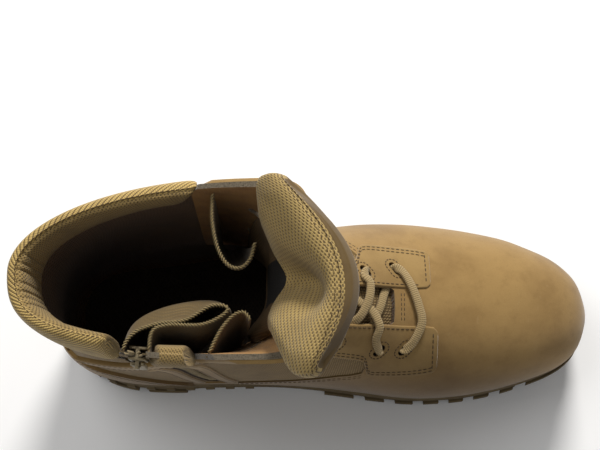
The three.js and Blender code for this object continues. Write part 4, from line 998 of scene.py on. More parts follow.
# The tongue under the lacing: station, half width and thickness. Its padded top, which bends
# forward: x as a share of FOOT, rise as a share of PAD_HEIGHT, half width, bend back at both
# sides, turn, shift to the outer side, and thickness as a share of TONGUE_PAD. The widths and
# the three moves are shares of TONGUE_WIDE.
TONGUE_ROWS = [(7.2, 0.27, 0.5), (8, 0.3, 0.8), (9, 0.33, 1), (10, 0.34, 1), (11, 0.35, 1), (12.5, 0.36, 1),
               (14, 0.37, 1), (15.5, 0.38, 1), (17, 0.39, 1.1), (18.5, 0.4, 1.25), (20, 0.41, 1.5)]
TONGUE_TOP = [(0.441, -0.4, 0.31, 0.1, -0.02, 0, 0.75), (0.464, -0.03, 0.345, 0.15, -0.04, -0.02, 1.05),
              (0.482, 0.17, 0.475, 0.185, -0.08, -0.05, 1.15), (0.506, 0.34, 0.505, 0.22, -0.085, -0.06, 1.15),
              (0.526, 0.48, 0.49, 0.235, -0.085, -0.06, 0.95), (0.536, 0.55, 0.43, 0.25, -0.08, -0.055, 0.55)]
TONGUE_DENT = [0.3, 1, 0.85, 0.3, 0, 0]  # how much of the dent each row of the top has
DENT_MOVE, DENT_FLAT = 6, 0.72  # its move forward, and the share of the padding it takes
RIMS = (4.4, 6.2)  # mm from the top edge to the stitch lines
TONGUE_WIDE, TONGUE_THICK, TONGUE_PAD, PAD_HEIGHT = 92.0, 4.5, 12.5, 36.0


def tongue(across=57, rows=190):
    """The tongue with its padded top: front face first, then the back face the other way."""
    v = np.sin(np.linspace(-1, 1, across) * math.pi / 2)
    v = lerp(v, np.linspace(-1, 1, across), 0.5)
    taper = lerp(0.35, 1, np.sqrt(np.clip(1 - v**6, 0, 1)))
    front, back = [], []
    for t, half, thick in TONGUE_ROWS:
        offset = -WALL - 0.7  # under the lining
        reach = np.abs(v) * half * TONGUE_WIDE
        line = np.where(v < 0, walk(t, -math.pi, reach, -1, offset), walk(t, math.pi, reach, 1, offset))
        p = form(t, line, offset)
        into = unit(form(t, line, offset - 1) - p)
        front.append(p)
        back.append(p + into * (thick * TONGUE_THICK * taper)[:, None])
    for i, (x, rise, half, bend, turn, tip, pad) in enumerate(TONGUE_TOP):
        before, after = TONGUE_TOP[max(i - 1, 0)], TONGUE_TOP[min(i + 1, len(TONGUE_TOP) - 1)]
        run = unit(np.array([(after[0] - before[0]) * FOOT, (after[1] - before[1]) * PAD_HEIGHT]))
        into = np.array([-run[1], 0, run[0]])
        p = np.stack([x * FOOT + (turn * v - bend * v * v) * TONGUE_WIDE, (v * half + tip) * TONGUE_WIDE,
                      np.full_like(v, SHAFT + rise * PAD_HEIGHT)], -1)
        # pulled in where the padded top bends over the middle of the shin
        dent = TONGUE_DENT[i] * np.exp(-(((v + 0.14) / 0.3) ** 2))
        p[:, 0] += DENT_MOVE * dent
        front.append(p)
        back.append(p + into * (pad * TONGUE_PAD * taper * (1 - DENT_FLAT * dent))[:, None])
    front, back = np.array(front), np.array(back)
    low_end = len(TONGUE_ROWS) - 1
    at = np.concatenate([np.linspace(0, low_end, 90, endpoint=False),
                         np.linspace(low_end, len(front) - 1, rows - 90)])
    front, back = spline(front, at), spline(back, at)
    thick = back - front
    # a seam round the padded top, and a thin binding beyond it
    top_share = np.clip((at - 12.0) / (at[-1] - 12.0), 0, 1)[:, None]
    from_top = (1 - top_share) * 22.0
    from_side = (1 - np.abs(v))[None, :] * 47.0
    pillow = 1 + 0.12 * smooth(np.minimum(from_top, from_side), 2, 12)
    seam = np.exp(-(((from_top - 5.2) / 1.0) ** 2)) * (top_share > 0)
    seam2 = np.exp(-(((from_top - 3.4) / 0.7) ** 2)) * (top_share > 0)
    edge = lerp(0.72, 1.0, smooth(from_top, 0.0, 5.0))
    share = pillow * (1 - 0.16 * seam) * (1 - 0.12 * seam2) * np.where(top_share > 0, edge, 1)
    back = front + thick * share[..., None]
    outer = np.concatenate([front, back[:, ::-1]], 1)
    ring = np.concatenate([outer, outer[:, :1]], 1)
    uv = np.stack([ring[..., 1], lengths(ring[::-1], 0)[::-1]], -1)
    obj = tube_mesh("tongue_padded", outer, uv, ladder=True)
    around = outer.shape[1]
    low_rows = int(np.argmax(at > 11.12))
    held = [i * around + k for i in range(len(at)) for k in range(around)
            if i < int(np.argmax(at > 11.6)) or from_top[i, 0] < 5.5 or k < across]
    inflate(obj, held, 2.2, pressure=3.0)
    # 0 mesh, 1 edge and front, 2 nylon under the laces, 3 blank label, 4 the back below the pad
    for number, poly in enumerate(obj.data.polygons):
        row, k = number // around, number % around
        if number >= (len(at) - 1) * around:
            poly.material_index = 1
        elif row < low_rows and k < across - 1:
            poly.material_index = 2
        elif row < low_rows:
            beside = v[min(2 * across - 1 - k, across - 1)]
            poly.material_index = 3 if at[row] > 9.9 and -0.5 < beside < 0.2 else 4
        elif from_top[row, 0] < 3.2 or k < across - 1:
            poly.material_index = 1
    above = np.where(top_share[:, 0] == 0, 100, 0)
    rims = [back[int(np.argmin(np.abs(from_top[:, 0] - gap) + above))] for gap in RIMS]
    return refine(obj), rims


# Cloth folds, as plan lines of their upper edges. The tongue's two are shares of FOOT and BALL,
# and the zip's is a share of ZIP_REACH forward of the zip's top, and of BALL. ZIP_RIM is where
# the zip's fold lies at its very edge.
ZIP_REACH = 48
LATERAL_FOLD = [(0.315, 0.36), (0.313, 0.24), (0.322, 0.13), (0.34, 0.04), (0.36, 0.015),
                (0.375, 0.05), (0.381, 0.13)]
MEDIAL_FOLD = [(0.31, -0.4), (0.33, -0.28), (0.35, -0.2), (0.365, -0.185), (0.375, -0.225)]
ZIP_FOLD = [(-0.094, -0.42), (-0.0785, -0.27), (0.042, -0.19), (0.265, -0.145), (0.55, -0.125),
            (0.773, -0.13), (0.9, -0.17), (0.8365, -0.215), (0.646, -0.25), (0.328, -0.245),
            (0.169, -0.28), (0.15, -0.42)]
ZIP_ROOT = (0.0325, -0.353)
ZIP_RIM = [(-0.094, -0.42), (-0.0785, -0.34), (0.03, -0.275), (0.24, -0.235), (0.5, -0.224), (0.74, -0.165),
           *ZIP_FOLD[6:]]


def open_curve(points, count):
    p = np.array(points, float)
    at = np.linspace(0, len(p) - 1, count)
    return spline(p, at)


FOLD_TOP = SHAFT - 8


def fold(name, plan, root, low, rolls, puff, rim, closing=0.35, count=90):
    """A hanging fold of cloth from its plan line at the top; lower down it closes on its root.
    rolls are waves across it: height, waves, drift downward and phase. puff swells it. Returns
    the piece, its rim, its flat size and its area, in mm."""
    centre = open_curve(plan, count)
    run = unit(np.gradient(centre, axis=0))
    across = np.stack([-run[:, 1], run[:, 0]], -1)
    share = np.linspace(0, 1, 34)[:, None, None]
    shrink = lerp(1, closing, share**1.5)
    drawn = open_curve(rim, count) - centre
    root = np.array(root)
    flat_p = root + (centre[None] + drawn * (1 - smooth(share, 0.0, 0.24)) - root) * shrink
    along = np.linspace(0, 1, count)
    ripple = sum(a * np.sin(along * math.pi * n + c + share[:, :, 0] * b) for a, n, b, c in rolls)
    swell = puff * smooth(share[:, :, 0], 0, 0.17) * (1 - 0.5 * smooth(share[:, :, 0], 0.3, 1))
    ripple = (ripple + swell) * np.sin(along * math.pi) ** 0.5
    flat_p = flat_p + across[None] * ripple[..., None]
    z = lerp(FOLD_TOP, low, share[..., 0]) + 1.2 * np.sin(along * 7 + 1)[None] * (1 - share[..., 0]) - 0.6
    p = np.concatenate([flat_p, np.broadcast_to(z[..., None], (*flat_p.shape[:2], 1))], -1)
    normal = np.concatenate([np.broadcast_to(across[None], flat_p.shape), np.zeros((*flat_p.shape[:2], 1))], -1)
    size = (float(lengths(p, 1)[0, -1]), float(lengths(p, 0)[-1].mean()))
    down, aside = p[1:, :-1] - p[:-1, :-1], p[:-1, 1:] - p[:-1, :-1]
    area = float(np.sum(np.linalg.norm(np.cross(down, aside), axis=-1)))
    body = slab(name, p + normal * 0.5, p - normal * 0.5)
    return combine(body, room(-0.9), "INTERSECT"), p[0], size, area


# Zip
ZIP_PLANE = -WALL / 2  # the chain lies in the middle of the wall


def zip_points(d, z, offset, spread=0):
    """Points d mm in front of the zip's line; spread is the side, -1 or 1, that opens."""
    return side_point(zip_x(z) + d + spread * zip_spread(z), z, -1, offset)


def zip_strip(name, d0, d1, o0, o1, low, high, spread, count=60, across=5):
    """A strip along the zip, from d0 to d1 wide and from o0 to o1 thick."""
    z, d = np.meshgrid(np.linspace(low, high, count), np.linspace(d0, d1, across), indexing="ij")
    return slab(name, zip_points(d, z, o1, spread), zip_points(d, z, o0, spread))


def side_panel(name, d0, d1, low, high, thick, count=90, across=22):
    """A strip of leather beside the zip's line."""
    z, d = np.meshgrid(lerp(low, high, eased(count, 0.02)), lerp(d0, d1, eased(across, 0.1)), indexing="ij")
    t, angle = place_on(zip_x(z) + d, z, -1)
    return panel(name, t, angle, 0.05, thick, radius=0.7)


# Lace
LACE_WIDE, LACE_THICK = 5.0, 2.6


def lace_tube(name, points, ups, count=150, sides=18):
    """A braided flat lace along points; ups is the way its flat side looks at each of them."""
    fine = open_curve(points, count)
    up = open_curve(ups, count)
    run = np.concatenate([[0], np.cumsum(np.linalg.norm(np.diff(fine, axis=0), axis=1))])
    tangent = unit(np.gradient(fine, axis=0))
    wide = unit(np.cross(tangent, up))
    high = unit(np.cross(wide, tangent))
    turn = np.linspace(0, 2 * math.pi, sides, endpoint=False)
    rib = 0.12 * np.abs(np.sin(run[:, None] * math.pi / 1.15 + 0.5 * np.sign(np.cos(turn)))) - 0.06
    x = np.sign(np.cos(turn)) * np.abs(np.cos(turn)) ** 0.75 * (LACE_WIDE / 2 + rib)
    y = np.sign(np.sin(turn)) * np.abs(np.sin(turn)) ** 0.85 * (LACE_THICK / 2 + rib)
    p = fine[:, None] + x[..., None] * wide[:, None] + y[..., None] * high[:, None]
    return tube_mesh(name, p)


def beside(e, base, normal, across, along=0.0):
    """A point moved from base in an eyelet's own directions, in mm."""
    return base + e.normal * normal + e.across * across + e.along * along


def lace_leg(name, a, b, lift):
    """From an eyelet over the throat to the other side's next eyelet, which it enters from below."""
    points = [beside(a, a.at, -4.5, -1.0), beside(a, a.at, 0.4, 0), beside(a, a.at, 2.1, 4.5),
              beside(a, a.edge, FACE + 3.3, 0.5), form((a.t + b.t) / 2, math.pi, 0.9 + lift),
              beside(b, b.edge, 0.4, 3.4, 2.2), beside(b, b.edge, -2.6, -3.5, 1.6)]
    up = unit(a.normal + b.normal)
    ups = [a.across, a.normal + a.across, a.normal, a.normal, up, b.normal, b.normal]
    return lace_tube(name, np.array(points), np.array(ups))


def spot(t, y, lift):
    """A place over the top of the last, y mm to the outer side of its middle."""
    return form(t, float(angle_at_half(t, max(abs(y), 0.01), 1 if y >= 0 else -1)), lift)


def lace_from(name, start, spots, end=None, count=150):
    """A lace that leaves a slot, passes the spots, and may go down into another slot."""
    points = [start.at - start.normal * 4.5, start.at + start.normal * 0.4]
    ups = [start.across, unit(start.normal + start.across)]
    for t, y, lift in spots:
        points.append(spot(t, y, lift))
        ups.append(unit(spot(t, y, lift + 1) - points[-1]))
    if end is not None:
        points += [end.at + end.normal * 0.4, end.at - end.normal * 4.5]
        ups += [unit(end.normal + end.across), end.across]
    return lace_tube(name, np.array(points), np.array(ups), count)


# Where the photograph shows the first laces: station, mm to the outer side, lift. BAR joins the
# lowest two slots, OVER and UNDER cross above it, and INSIDE runs behind the facings.
BAR = [(9.06, 18.3, 3.6), (8.8, 10.6, 4.0), (8.56, 0, 3.5), (8.48, -8.5, 3.8), (8.72, -17.5, 3.6)]
OVER = [(10.42, 15.2, 3.6), (10.25, 10.8, 4.0), (10.28, 2.6, 2.7), (10.52, -6.0, 1.2),
        (10.8, -11, -1.4), (10.95, -14, -2.4)]
UNDER = [(10.0, -17.8, 3.6), (9.93, -10.8, 4.0), (10.12, -3.3, 1.2), (10.42, 0.5, -0.6),
         (10.85, 6.3, -1.2), (11.05, 11.5, -1.8), (11.15, 14.5, -2.4)]
INSIDE = [(9.45, 12.5, -1.9), (9.58, 7, -1.8), (9.7, 0, -1.8), (9.9, -8, -1.8), (10.0, -12.5, -1.9)]


# Materials

TONE = 0.81  # all colours are this much darker, because the light is bright


def rgb(r, g, b):
    """A linear colour from the usual 0 to 255 values, toned down by TONE."""
    return tuple(((TONE * v / 255 + 0.055) / 1.055) ** 2.4 for v in (r, g, b)) + (1.0,)


class Look:
    """A material whose colour and bump are built from patterns in space or along the fabric."""

    def __init__(self, name, colour, rough=0.85, sheen=0.0, metal=0.0, specular=0.3):
        self.material = bpy.data.materials.new(name)
        self.material.use_nodes = True
        self.tree = self.material.node_tree
        self.shader = self.tree.nodes["Principled BSDF"]
        self.shader.inputs["Roughness"].default_value = rough
        self.shader.inputs["Metallic"].default_value = metal
        self.shader.inputs["Specular IOR Level"].default_value = specular
        self.shader.inputs["Sheen Weight"].default_value = sheen
        self.shader.inputs["Sheen Roughness"].default_value = 0.5
        self.shader.inputs["Base Color"].default_value = colour
        self.colour = colour
        self.height = None
        self.space = self.node("ShaderNodeTexCoord").outputs["Object"]

    def node(self, kind, **settings):
        made_node = self.tree.nodes.new(kind)
        for key, value in settings.items():
            setattr(made_node, key, value)
        return made_node

    def put(self, socket, value):
        """Links or sets a socket."""
        if isinstance(value, bpy.types.NodeSocket):
            self.tree.links.new(value, socket)
        else:
            socket.default_value = value

    def calc(self, operation, a, b=0.0, c=0.0, clamp=False):
        n = self.node("ShaderNodeMath", operation=operation, use_clamp=clamp)
        for socket, value in zip(n.inputs, (a, b, c)):
            self.put(socket, value)
        return n.outputs[0]

    def noise(self, size, detail=3.0, rough=0.55, stretch=(1, 1, 1)):
        """Noise from 0 to 1 with features of about size mm."""
        scale = self.node("ShaderNodeMapping")
        scale.inputs["Scale"].default_value = stretch
        self.put(scale.inputs["Vector"], self.space)
        n = self.node("ShaderNodeTexNoise")
        n.inputs["Scale"].default_value = 1000.0 / size
        n.inputs["Detail"].default_value = detail
        n.inputs["Roughness"].default_value = rough
        self.put(n.inputs["Vector"], scale.outputs[0])
        return n.outputs["Fac"]

    def fabric(self):
        """Distances in mm round and along the piece."""
        uv = self.node("ShaderNodeUVMap", uv_map="fabric")
        split = self.node("ShaderNodeSeparateXYZ")
        self.put(split.inputs[0], uv.outputs[0])
        return split.outputs[0], split.outputs[1]

    def place(self):
        """The surface's place in the part's frame."""
        split = self.node("ShaderNodeSeparateXYZ")
        self.put(split.inputs[0], self.space)
        return split.outputs[0], split.outputs[1], split.outputs[2]

    def wave(self, u, v, pitch, turn=0.0):
        """Ribs of a pitch in mm across the direction turn, from 0 to 1."""
        k = 2 * math.pi / pitch
        x = self.calc("MULTIPLY", u, k * math.cos(turn))
        y = self.calc("MULTIPLY_ADD", v, k * math.sin(turn), x)
        return self.calc("MULTIPLY_ADD", self.calc("SINE", y), 0.5, 0.5)

    def ramp(self, value, low, high, to_low=0.0, to_high=1.0):
        """A value eased from to_low at low to to_high at high."""
        n = self.node("ShaderNodeMapRange")
        n.interpolation_type = "SMOOTHSTEP"
        for socket, number in zip(n.inputs[1:5], (low, high, to_low, to_high)):
            socket.default_value = number
        self.put(n.inputs[0], value)
        return n.outputs[0]

    def tint(self, factor, colour, amount=1.0):
        """Mixes a colour into the surface where factor is 1."""
        mix = self.node("ShaderNodeMix", data_type="RGBA")
        self.put(mix.inputs["Factor"], self.calc("MULTIPLY", factor, amount, clamp=True))
        self.put(mix.inputs[6], self.colour)
        mix.inputs[7].default_value = colour
        self.colour = mix.outputs[2]
        return self

    def raise_by(self, value, amount):
        """Adds a pattern to the bump, in mm."""
        term = self.calc("MULTIPLY", value, amount)
        self.height = term if self.height is None else self.calc("ADD", self.height, term)
        return self

    def done(self, roughness=None):
        """Links the colour and the bump to the shader and returns the material."""
        self.put(self.shader.inputs["Base Color"], self.colour)
        if roughness is not None:
            self.put(self.shader.inputs["Roughness"], roughness)
        if self.height is not None:
            bump = self.node("ShaderNodeBump")
            bump.inputs["Strength"].default_value = 1.0
            bump.inputs["Distance"].default_value = 0.001
            self.put(bump.inputs["Height"], self.height)
            self.put(self.shader.inputs["Normal"], bump.outputs[0])
        return self.material


def leather(name, light, dark, scuffs=0.35, grain=1.0):
    """Nubuck: a soft nap, cloudy in tone, darker towards the sole (partly dirt, partly painted shade), and with
    painted shade low on the inner side.
    """
    look = Look(name, light, rough=0.9, sheen=0.25, specular=0.18)
    look.tint(look.ramp(look.noise(38, 4), 0.38, 0.72), dark, 0.55)
    look.tint(look.ramp(look.noise(9, 4, 0.65), 0.45, 0.75), dark, 0.3)
    nap = look.noise(0.7, 2, 0.7)
    look.tint(look.ramp(nap, 0.5, 0.75), dark, 0.22)
    scratch = look.ramp(look.noise(3.0, 5, 0.7, (1, 0.2, 1)), 0.62, 0.75)
    look.tint(scratch, rgb(196, 168, 120), scuffs)
    _, y, z = look.place()
    # darker towards the sole: partly dirt, partly painted shade
    low = look.ramp(z, 0.05, 0.018)
    look.tint(low, rgb(96, 74, 44), 0.45)
    # painted shade: the inner side is darkened low down, as a side turned away from the light
    inner = look.calc("MULTIPLY", look.ramp(y, -0.026, -0.046), look.ramp(z, 0.12, 0.06))
    look.tint(inner, rgb(92, 68, 36), 0.6)
    look.raise_by(nap, 0.05 * grain).raise_by(look.noise(0.35, 2), 0.04 * grain)
    look.raise_by(look.noise(5, 4), 0.12 * grain)
    return look.done()


def weave(name, light, dark, pitch, deep=0.12, twist=0.0, sheen=0.1):
    """Coarse woven nylon: threads crossing at right angles."""
    look = Look(name, light, rough=0.72, sheen=sheen, specular=0.35)
    u, v = look.fabric()
    a = look.wave(u, v, pitch, twist)
    b = look.wave(u, v, pitch * 1.15, twist + math.pi / 2)
    cross = look.calc("MULTIPLY", a, b)
    look.tint(look.ramp(cross, 0.45, 0.0), dark, 0.75)
    look.tint(look.ramp(look.noise(14, 4), 0.4, 0.75), dark, 0.35)
    look.raise_by(cross, deep * 2).raise_by(look.noise(0.3, 2), 0.03)
    return look.done()


def ribbed(name, light, dark, pitch, turn, deep=0.28):
    """Bold diagonal ribs of twisted thread."""
    look = Look(name, light, rough=0.68, sheen=0.12, specular=0.4)
    u, v = look.fabric()
    rib = look.wave(u, v, pitch, turn)
    strand = look.wave(u, v, pitch * 0.62, turn + 1.15)
    body = look.calc("MULTIPLY_ADD", strand, 0.35, look.calc("MULTIPLY", rib, 0.75))
    look.tint(look.ramp(rib, 0.42, 0.02), dark, 0.92)
    look.tint(look.ramp(strand, 0.4, 0.0), dark, 0.4)
    look.tint(look.ramp(look.noise(11, 3), 0.42, 0.75), dark, 0.25)
    look.raise_by(body, deep).raise_by(look.noise(0.3, 2), 0.03)
    return look.done()


def dotted(name, light, dark, pitch, deep=0.35, amount=0.85, leather_from=None):
    """Padded spacer mesh: staggered dimples between raised threads, and smooth leather from an x on."""
    look = Look(name, light, rough=0.74, sheen=0.15, specular=0.35)
    u, v = look.fabric()
    a = look.calc("COSINE", look.calc("MULTIPLY", u, math.pi / pitch * 1.12))
    b = look.calc("COSINE", look.calc("MULTIPLY", v, math.pi / pitch * 1.55))
    spots = look.calc("MULTIPLY_ADD", look.calc("MULTIPLY", a, b), 0.5, 0.5)
    thread = look.wave(u, v, pitch * 0.33, 0.6)
    look.tint(look.ramp(spots, 0.62, 0.95), dark, amount)
    look.tint(look.ramp(thread, 0.4, 0.0), dark, 0.25)
    look.tint(look.ramp(look.noise(13, 3), 0.4, 0.75), dark, 0.25)
    look.raise_by(look.ramp(spots, 0.9, 0.35), deep).raise_by(thread, 0.05)
    if leather_from is not None:
        x, _, z = look.place()
        piece = look.calc("MULTIPLY", look.ramp(x, leather_from, leather_from + 0.0005), look.ramp(z, 0.1, 0.101))
        look.tint(piece, rgb(214, 158, 84))
        look.tint(look.calc("MULTIPLY", piece, look.ramp(look.noise(9, 4), 0.4, 0.75)), rgb(176, 122, 60), 0.7)
    return look.done()


def rubber(name, light, dark, grain=0.08):
    """Matt rubber or foam with pale dust in its grain."""
    look = Look(name, light, rough=0.82, specular=0.25)
    look.tint(look.ramp(look.noise(20, 5, 0.65), 0.4, 0.72), dark, 0.6)
    dust = look.ramp(look.noise(4, 5, 0.7), 0.5, 0.72)
    look.tint(dust, rgb(140, 124, 94), 0.25)
    fine = look.noise(0.5, 3)
    look.raise_by(fine, grain).raise_by(look.noise(3, 3), grain)
    return look.done()


def thread(name, light, dark):
    look = Look(name, light, rough=0.75, sheen=0.1, specular=0.3)
    look.tint(look.ramp(look.noise(0.4, 2), 0.42, 0.65), dark, 0.6)
    look.raise_by(look.noise(0.24, 2), 0.08)
    return look.done()


def braid(name, light, dark):
    """The lace's braid, in ribs across it."""
    look = Look(name, light, rough=0.85, sheen=0.15, specular=0.25)
    u, v = look.fabric()
    a = look.wave(u, v, 1.15, math.pi / 2)
    b = look.wave(u, v, 0.8, 0.9)
    look.tint(look.ramp(a, 0.4, 0.0), dark, 0.65)
    look.tint(look.ramp(b, 0.35, 0.0), dark, 0.35)
    look.raise_by(a, 0.14).raise_by(b, 0.1).raise_by(look.noise(0.3, 2), 0.05)
    return look.done()


def felt(name, light, dark, size=0.8, deep=0.5):
    """A fuzzy surface, such as a raw leather edge or a hook-and-loop pile."""
    look = Look(name, light, rough=0.97, sheen=0.3, specular=0.1)
    a = look.noise(size, 4, 0.7)
    look.tint(look.ramp(a, 0.4, 0.7), dark, 0.85)
    look.raise_by(a, deep).raise_by(look.noise(size * 0.4, 2), deep * 0.4)
    return look.done()


def metal(name, light, dark):
    """Painted metal, worn to a smoother face in places."""
    look = Look(name, light, rough=0.42, metal=0.35, specular=0.5)
    worn = look.noise(2.2, 5, 0.7)
    look.tint(look.ramp(worn, 0.5, 0.62), dark, 0.7)
    look.raise_by(look.noise(0.5, 3), 0.03)
    return look.done(look.ramp(worn, 0.4, 0.7, 0.34, 0.6))


NUBUCK = leather("nubuck", rgb(184, 148, 90), rgb(140, 106, 58))
NUBUCK_STRAP = leather("nubuck_strap", rgb(182, 148, 90), rgb(138, 106, 60), 0.25)
DEEP_LINING = dotted("lining_mesh", rgb(128, 92, 54), rgb(56, 38, 22), 2.0, 0.25, leather_from=-0.0672)
RAW_EDGE = felt("raw_edge", rgb(136, 124, 104), rgb(70, 62, 52), 0.7, 0.4)
NYLON = weave("nylon_weave", rgb(182, 150, 92), rgb(96, 72, 36), 1.3)
COLLAR_RIB = ribbed("collar_rib", rgb(236, 200, 118), rgb(98, 72, 28), 1.6, 0.72)
COLLAR_MESH = dotted("collar_mesh", rgb(190, 158, 94), rgb(56, 40, 18), 1.4, 0.3)
TONGUE_MESH = dotted("tongue_mesh", rgb(208, 176, 106), rgb(78, 56, 20), 1.55)
TONGUE_EDGE = leather("tongue_leather", rgb(150, 124, 78), rgb(116, 90, 50), 0.1, 0.6)
TONGUE_SIDE = leather("tongue_side", rgb(120, 96, 56), rgb(90, 68, 36), 0.05, 0.6)
TONGUE_NYLON = weave("tongue_nylon", rgb(176, 146, 92), rgb(84, 62, 34), 1.6, 0.16)
BLANK_LABEL = weave("blank_label", rgb(34, 31, 28), rgb(18, 17, 16), 0.8, 0.06, sheen=0.0)
TONGUE_BACK = weave("tongue_back", rgb(112, 88, 56), rgb(64, 48, 28), 1.1, 0.06, sheen=0.0)
GUSSET = ribbed("gusset_nylon", rgb(140, 114, 62), rgb(52, 38, 16), 1.7, 0.95, 0.22)
ZIP_TAPE = weave("zip_tape", rgb(140, 118, 76), rgb(70, 54, 28), 0.9, 0.08)
COIL = thread("zip_coil", rgb(178, 158, 118), rgb(112, 92, 58))
# painted shade: the stitch thread is coloured dark to stand for the shade of the grooves it lies in
STITCH_GROOVE_SHADE = thread("thread_painted_groove_shade", rgb(96, 72, 38), rgb(60, 42, 20))
SERGE = thread("serge_thread", rgb(186, 164, 112), rgb(104, 84, 50))
LACE = braid("lace_braid", rgb(210, 182, 130), rgb(112, 88, 50))
RUBBER = rubber("outsole_rubber", rgb(124, 106, 74), rgb(86, 72, 48))
FOAM = rubber("midsole_foam", rgb(124, 106, 74), rgb(88, 72, 46), 0.05)
SOCK = dotted("sock_liner", rgb(70, 56, 38), rgb(34, 26, 16), 2.0, 0.2)
PILE = felt("pile", rgb(128, 110, 72), rgb(60, 48, 26), 0.9, 0.6)
METAL = metal("painted_metal", rgb(176, 158, 120), rgb(104, 90, 64))


def finish(obj, looks, nodes=(), angle=38, body="boot"):
    """Gives a piece its materials and its body, and hides the CAD nodes that it stands for."""
    looks = looks if isinstance(looks, (list, tuple)) else [looks]
    keep = [p.material_index for p in obj.data.polygons] if len(looks) > 1 else None
    obj.data.materials.clear()
    for look in looks:
        obj.data.materials.append(look)
    if keep:
        obj.data.polygons.foreach_set("material_index", keep)
    else:
        obj.data.polygons.foreach_set("material_index", [0] * len(obj.data.polygons))
    obj.data.polygons.foreach_set("use_smooth", [True] * len(obj.data.polygons))
    obj.data.set_sharp_from_angle(angle=math.radians(angle))
    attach(obj, body)
    if nodes:
        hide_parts(*nodes)
    return obj


# The sole
finish(outsole(), RUBBER, ["outsole"], 30)
finish(midsole(), FOAM, ["midsole"], 30)
finish(insole(), SOCK, ["insole"])

# The shell and its leather
shaft = shell()
sort_faces(shaft)
finish(shaft, [NYLON, DEEP_LINING, RAW_EDGE], ["upper"])
# low down, cut edges are turned in and look as the lining does
for poly in shaft.data.polygons:
    if poly.material_index == 2 and poly.center.z < 0.15:
        poly.material_index = 1
vamp = open_shell(overlay("vamp", vamp_region(), 0.9))
sort_faces(vamp)
finish(vamp, [NUBUCK, TONGUE_EDGE, TONGUE_EDGE])
counter = overlay("counter", prism("counter_region", in_mm(COUNTER_LINE), -200, 200), FACE)
cut(counter, sole_solid("rim", [(0, 8), (1, 8)], lambda x: np.full_like(x, -10), lambda x: rim_top(x) + CLEAR))
finish(counter, NUBUCK, ["heel_counter"])
STRIP_HALF, STRIP_TOP = 15, 0.985 * (SHAFT - 36)
strip_box = block("strip_box", [-20, -STRIP_HALF, HEEL_SEAT + 0.575 * INSTEP], [0.2 * FOOT, STRIP_HALF, STRIP_TOP])
strip = cut(overlay("back_strip", strip_box, FACE), pad_space("pad_gap", *REAR_ANGLES))
finish(strip, NUBUCK_STRAP, ["backstay"])
facings = {}
for side, word in ((1, "lateral"), (-1, "medial")):
    facings[side] = facing(side, f"facing_{word}")
    finish(facings[side], NUBUCK_STRAP, [f"eyestay_{word}"], 50)

# Collar and tongue
rear_pad, rear_seams = collar_pad("collar_rear", REAR_ANGLES, 230, 4.0)
finish(rear_pad, [COLLAR_RIB, COLLAR_MESH], ["collar_pad_rear"], 60)
front_pad, _ = collar_pad("collar_front", FRONT_ANGLES, 44, 0.0)
finish(front_pad, COLLAR_MESH, ["collar_pad_front"], 60)
tongue_top, tongue_rims = tongue()
tongue_looks = [TONGUE_MESH, TONGUE_SIDE, TONGUE_NYLON, BLANK_LABEL, TONGUE_BACK]
finish(tongue_top, tongue_looks, ["tongue"], 60)

# Folds of cloth, each with a serged upper edge
def by_tongue(line):
    return [(x * FOOT, y * BALL) for x, y in line]


def by_zip(line):
    return [(ZIP_TOP_X + x * ZIP_REACH, y * BALL) for x, y in line]


lateral, medial, loop = by_tongue(LATERAL_FOLD), by_tongue(MEDIAL_FOLD), by_zip(ZIP_FOLD)
# name, node, what it lies on, plan, root, rim, lower end, rolls, puff
FOLDS = [
    ("gusset_lateral", "tongue_gusset_lateral", "tongue_padded", lateral, lateral[0], lateral,
     0.6, [(0.8, 3, 2, 0.3)], 0),
    ("gusset_medial", "tongue_gusset_medial", "tongue_padded", medial, medial[0], medial,
     0.6, [(0.5, 2, 2, 0.1)], 0),
    ("gusset_zip", "zip_gusset", "shaft_nylon", loop, by_zip([ZIP_ROOT])[0], by_zip(ZIP_RIM),
     0.55, [(0.7, 5, 3, 0.6)], 2.5),
]
serge = []
for name, node, under, plan, root, edge, low, rolls, puff in FOLDS:
    body, rim, size, area = fold(name, plan, root, FOLD_TOP * low, rolls, puff, edge)
    finish(body, GUSSET, [node], 60)
    # threads over the edge: up one side, across and down the other
    keep = [p for p in resample(rim, 1.5) if 4 < p[0] and abs(p[1]) < 38]
    rise, fall = np.array([0, 0, 0.5]), np.array([0, 0, 1.6])
    for a, b in zip(keep[:-1], keep[1:]):
        run = unit(b - a)
        side = np.array([-run[1], run[0], 0]) * 0.85
        start, end = a + side * 0.7 + rise, b - side * 0.7 + rise
        serge += [(a + side - fall, start), (start, end), (end, b - side - fall)]
finish(rods("serged_edges", serge, 0.34), SERGE, angle=80)

# Zip
for sign, word in ((-1, "rear"), (1, "front")):
    tape = zip_strip(f"tape_{word}", sign * 2.9, sign * 5.0, ZIP_PLANE - 0.4, ZIP_PLANE + 0.4,
                     ZIP_LOW, SHAFT - 3, sign, across=4)
    finish(tape, ZIP_TAPE, [f"zip_tape_{word}"])
core = zip_strip("zip_core", -2.3, 2.3, ZIP_PLANE - 0.7, ZIP_PLANE + 0.5, ZIP_LOW + 0.3, ZIP_OPEN + 1, 0)
finish(core, ZIP_TAPE, ["zip_chain"])


def tooth_row(heights, path, spread):
    """Threads of the teeth on one side: path is (distance from the middle, rise, lift) each."""
    p = np.stack([zip_points(d, heights + rise, ZIP_PLANE + lift, spread) for d, rise, lift in path], 1)
    return [(a, b) for tooth in p for a, b in zip(tooth[:-1], tooth[1:])]


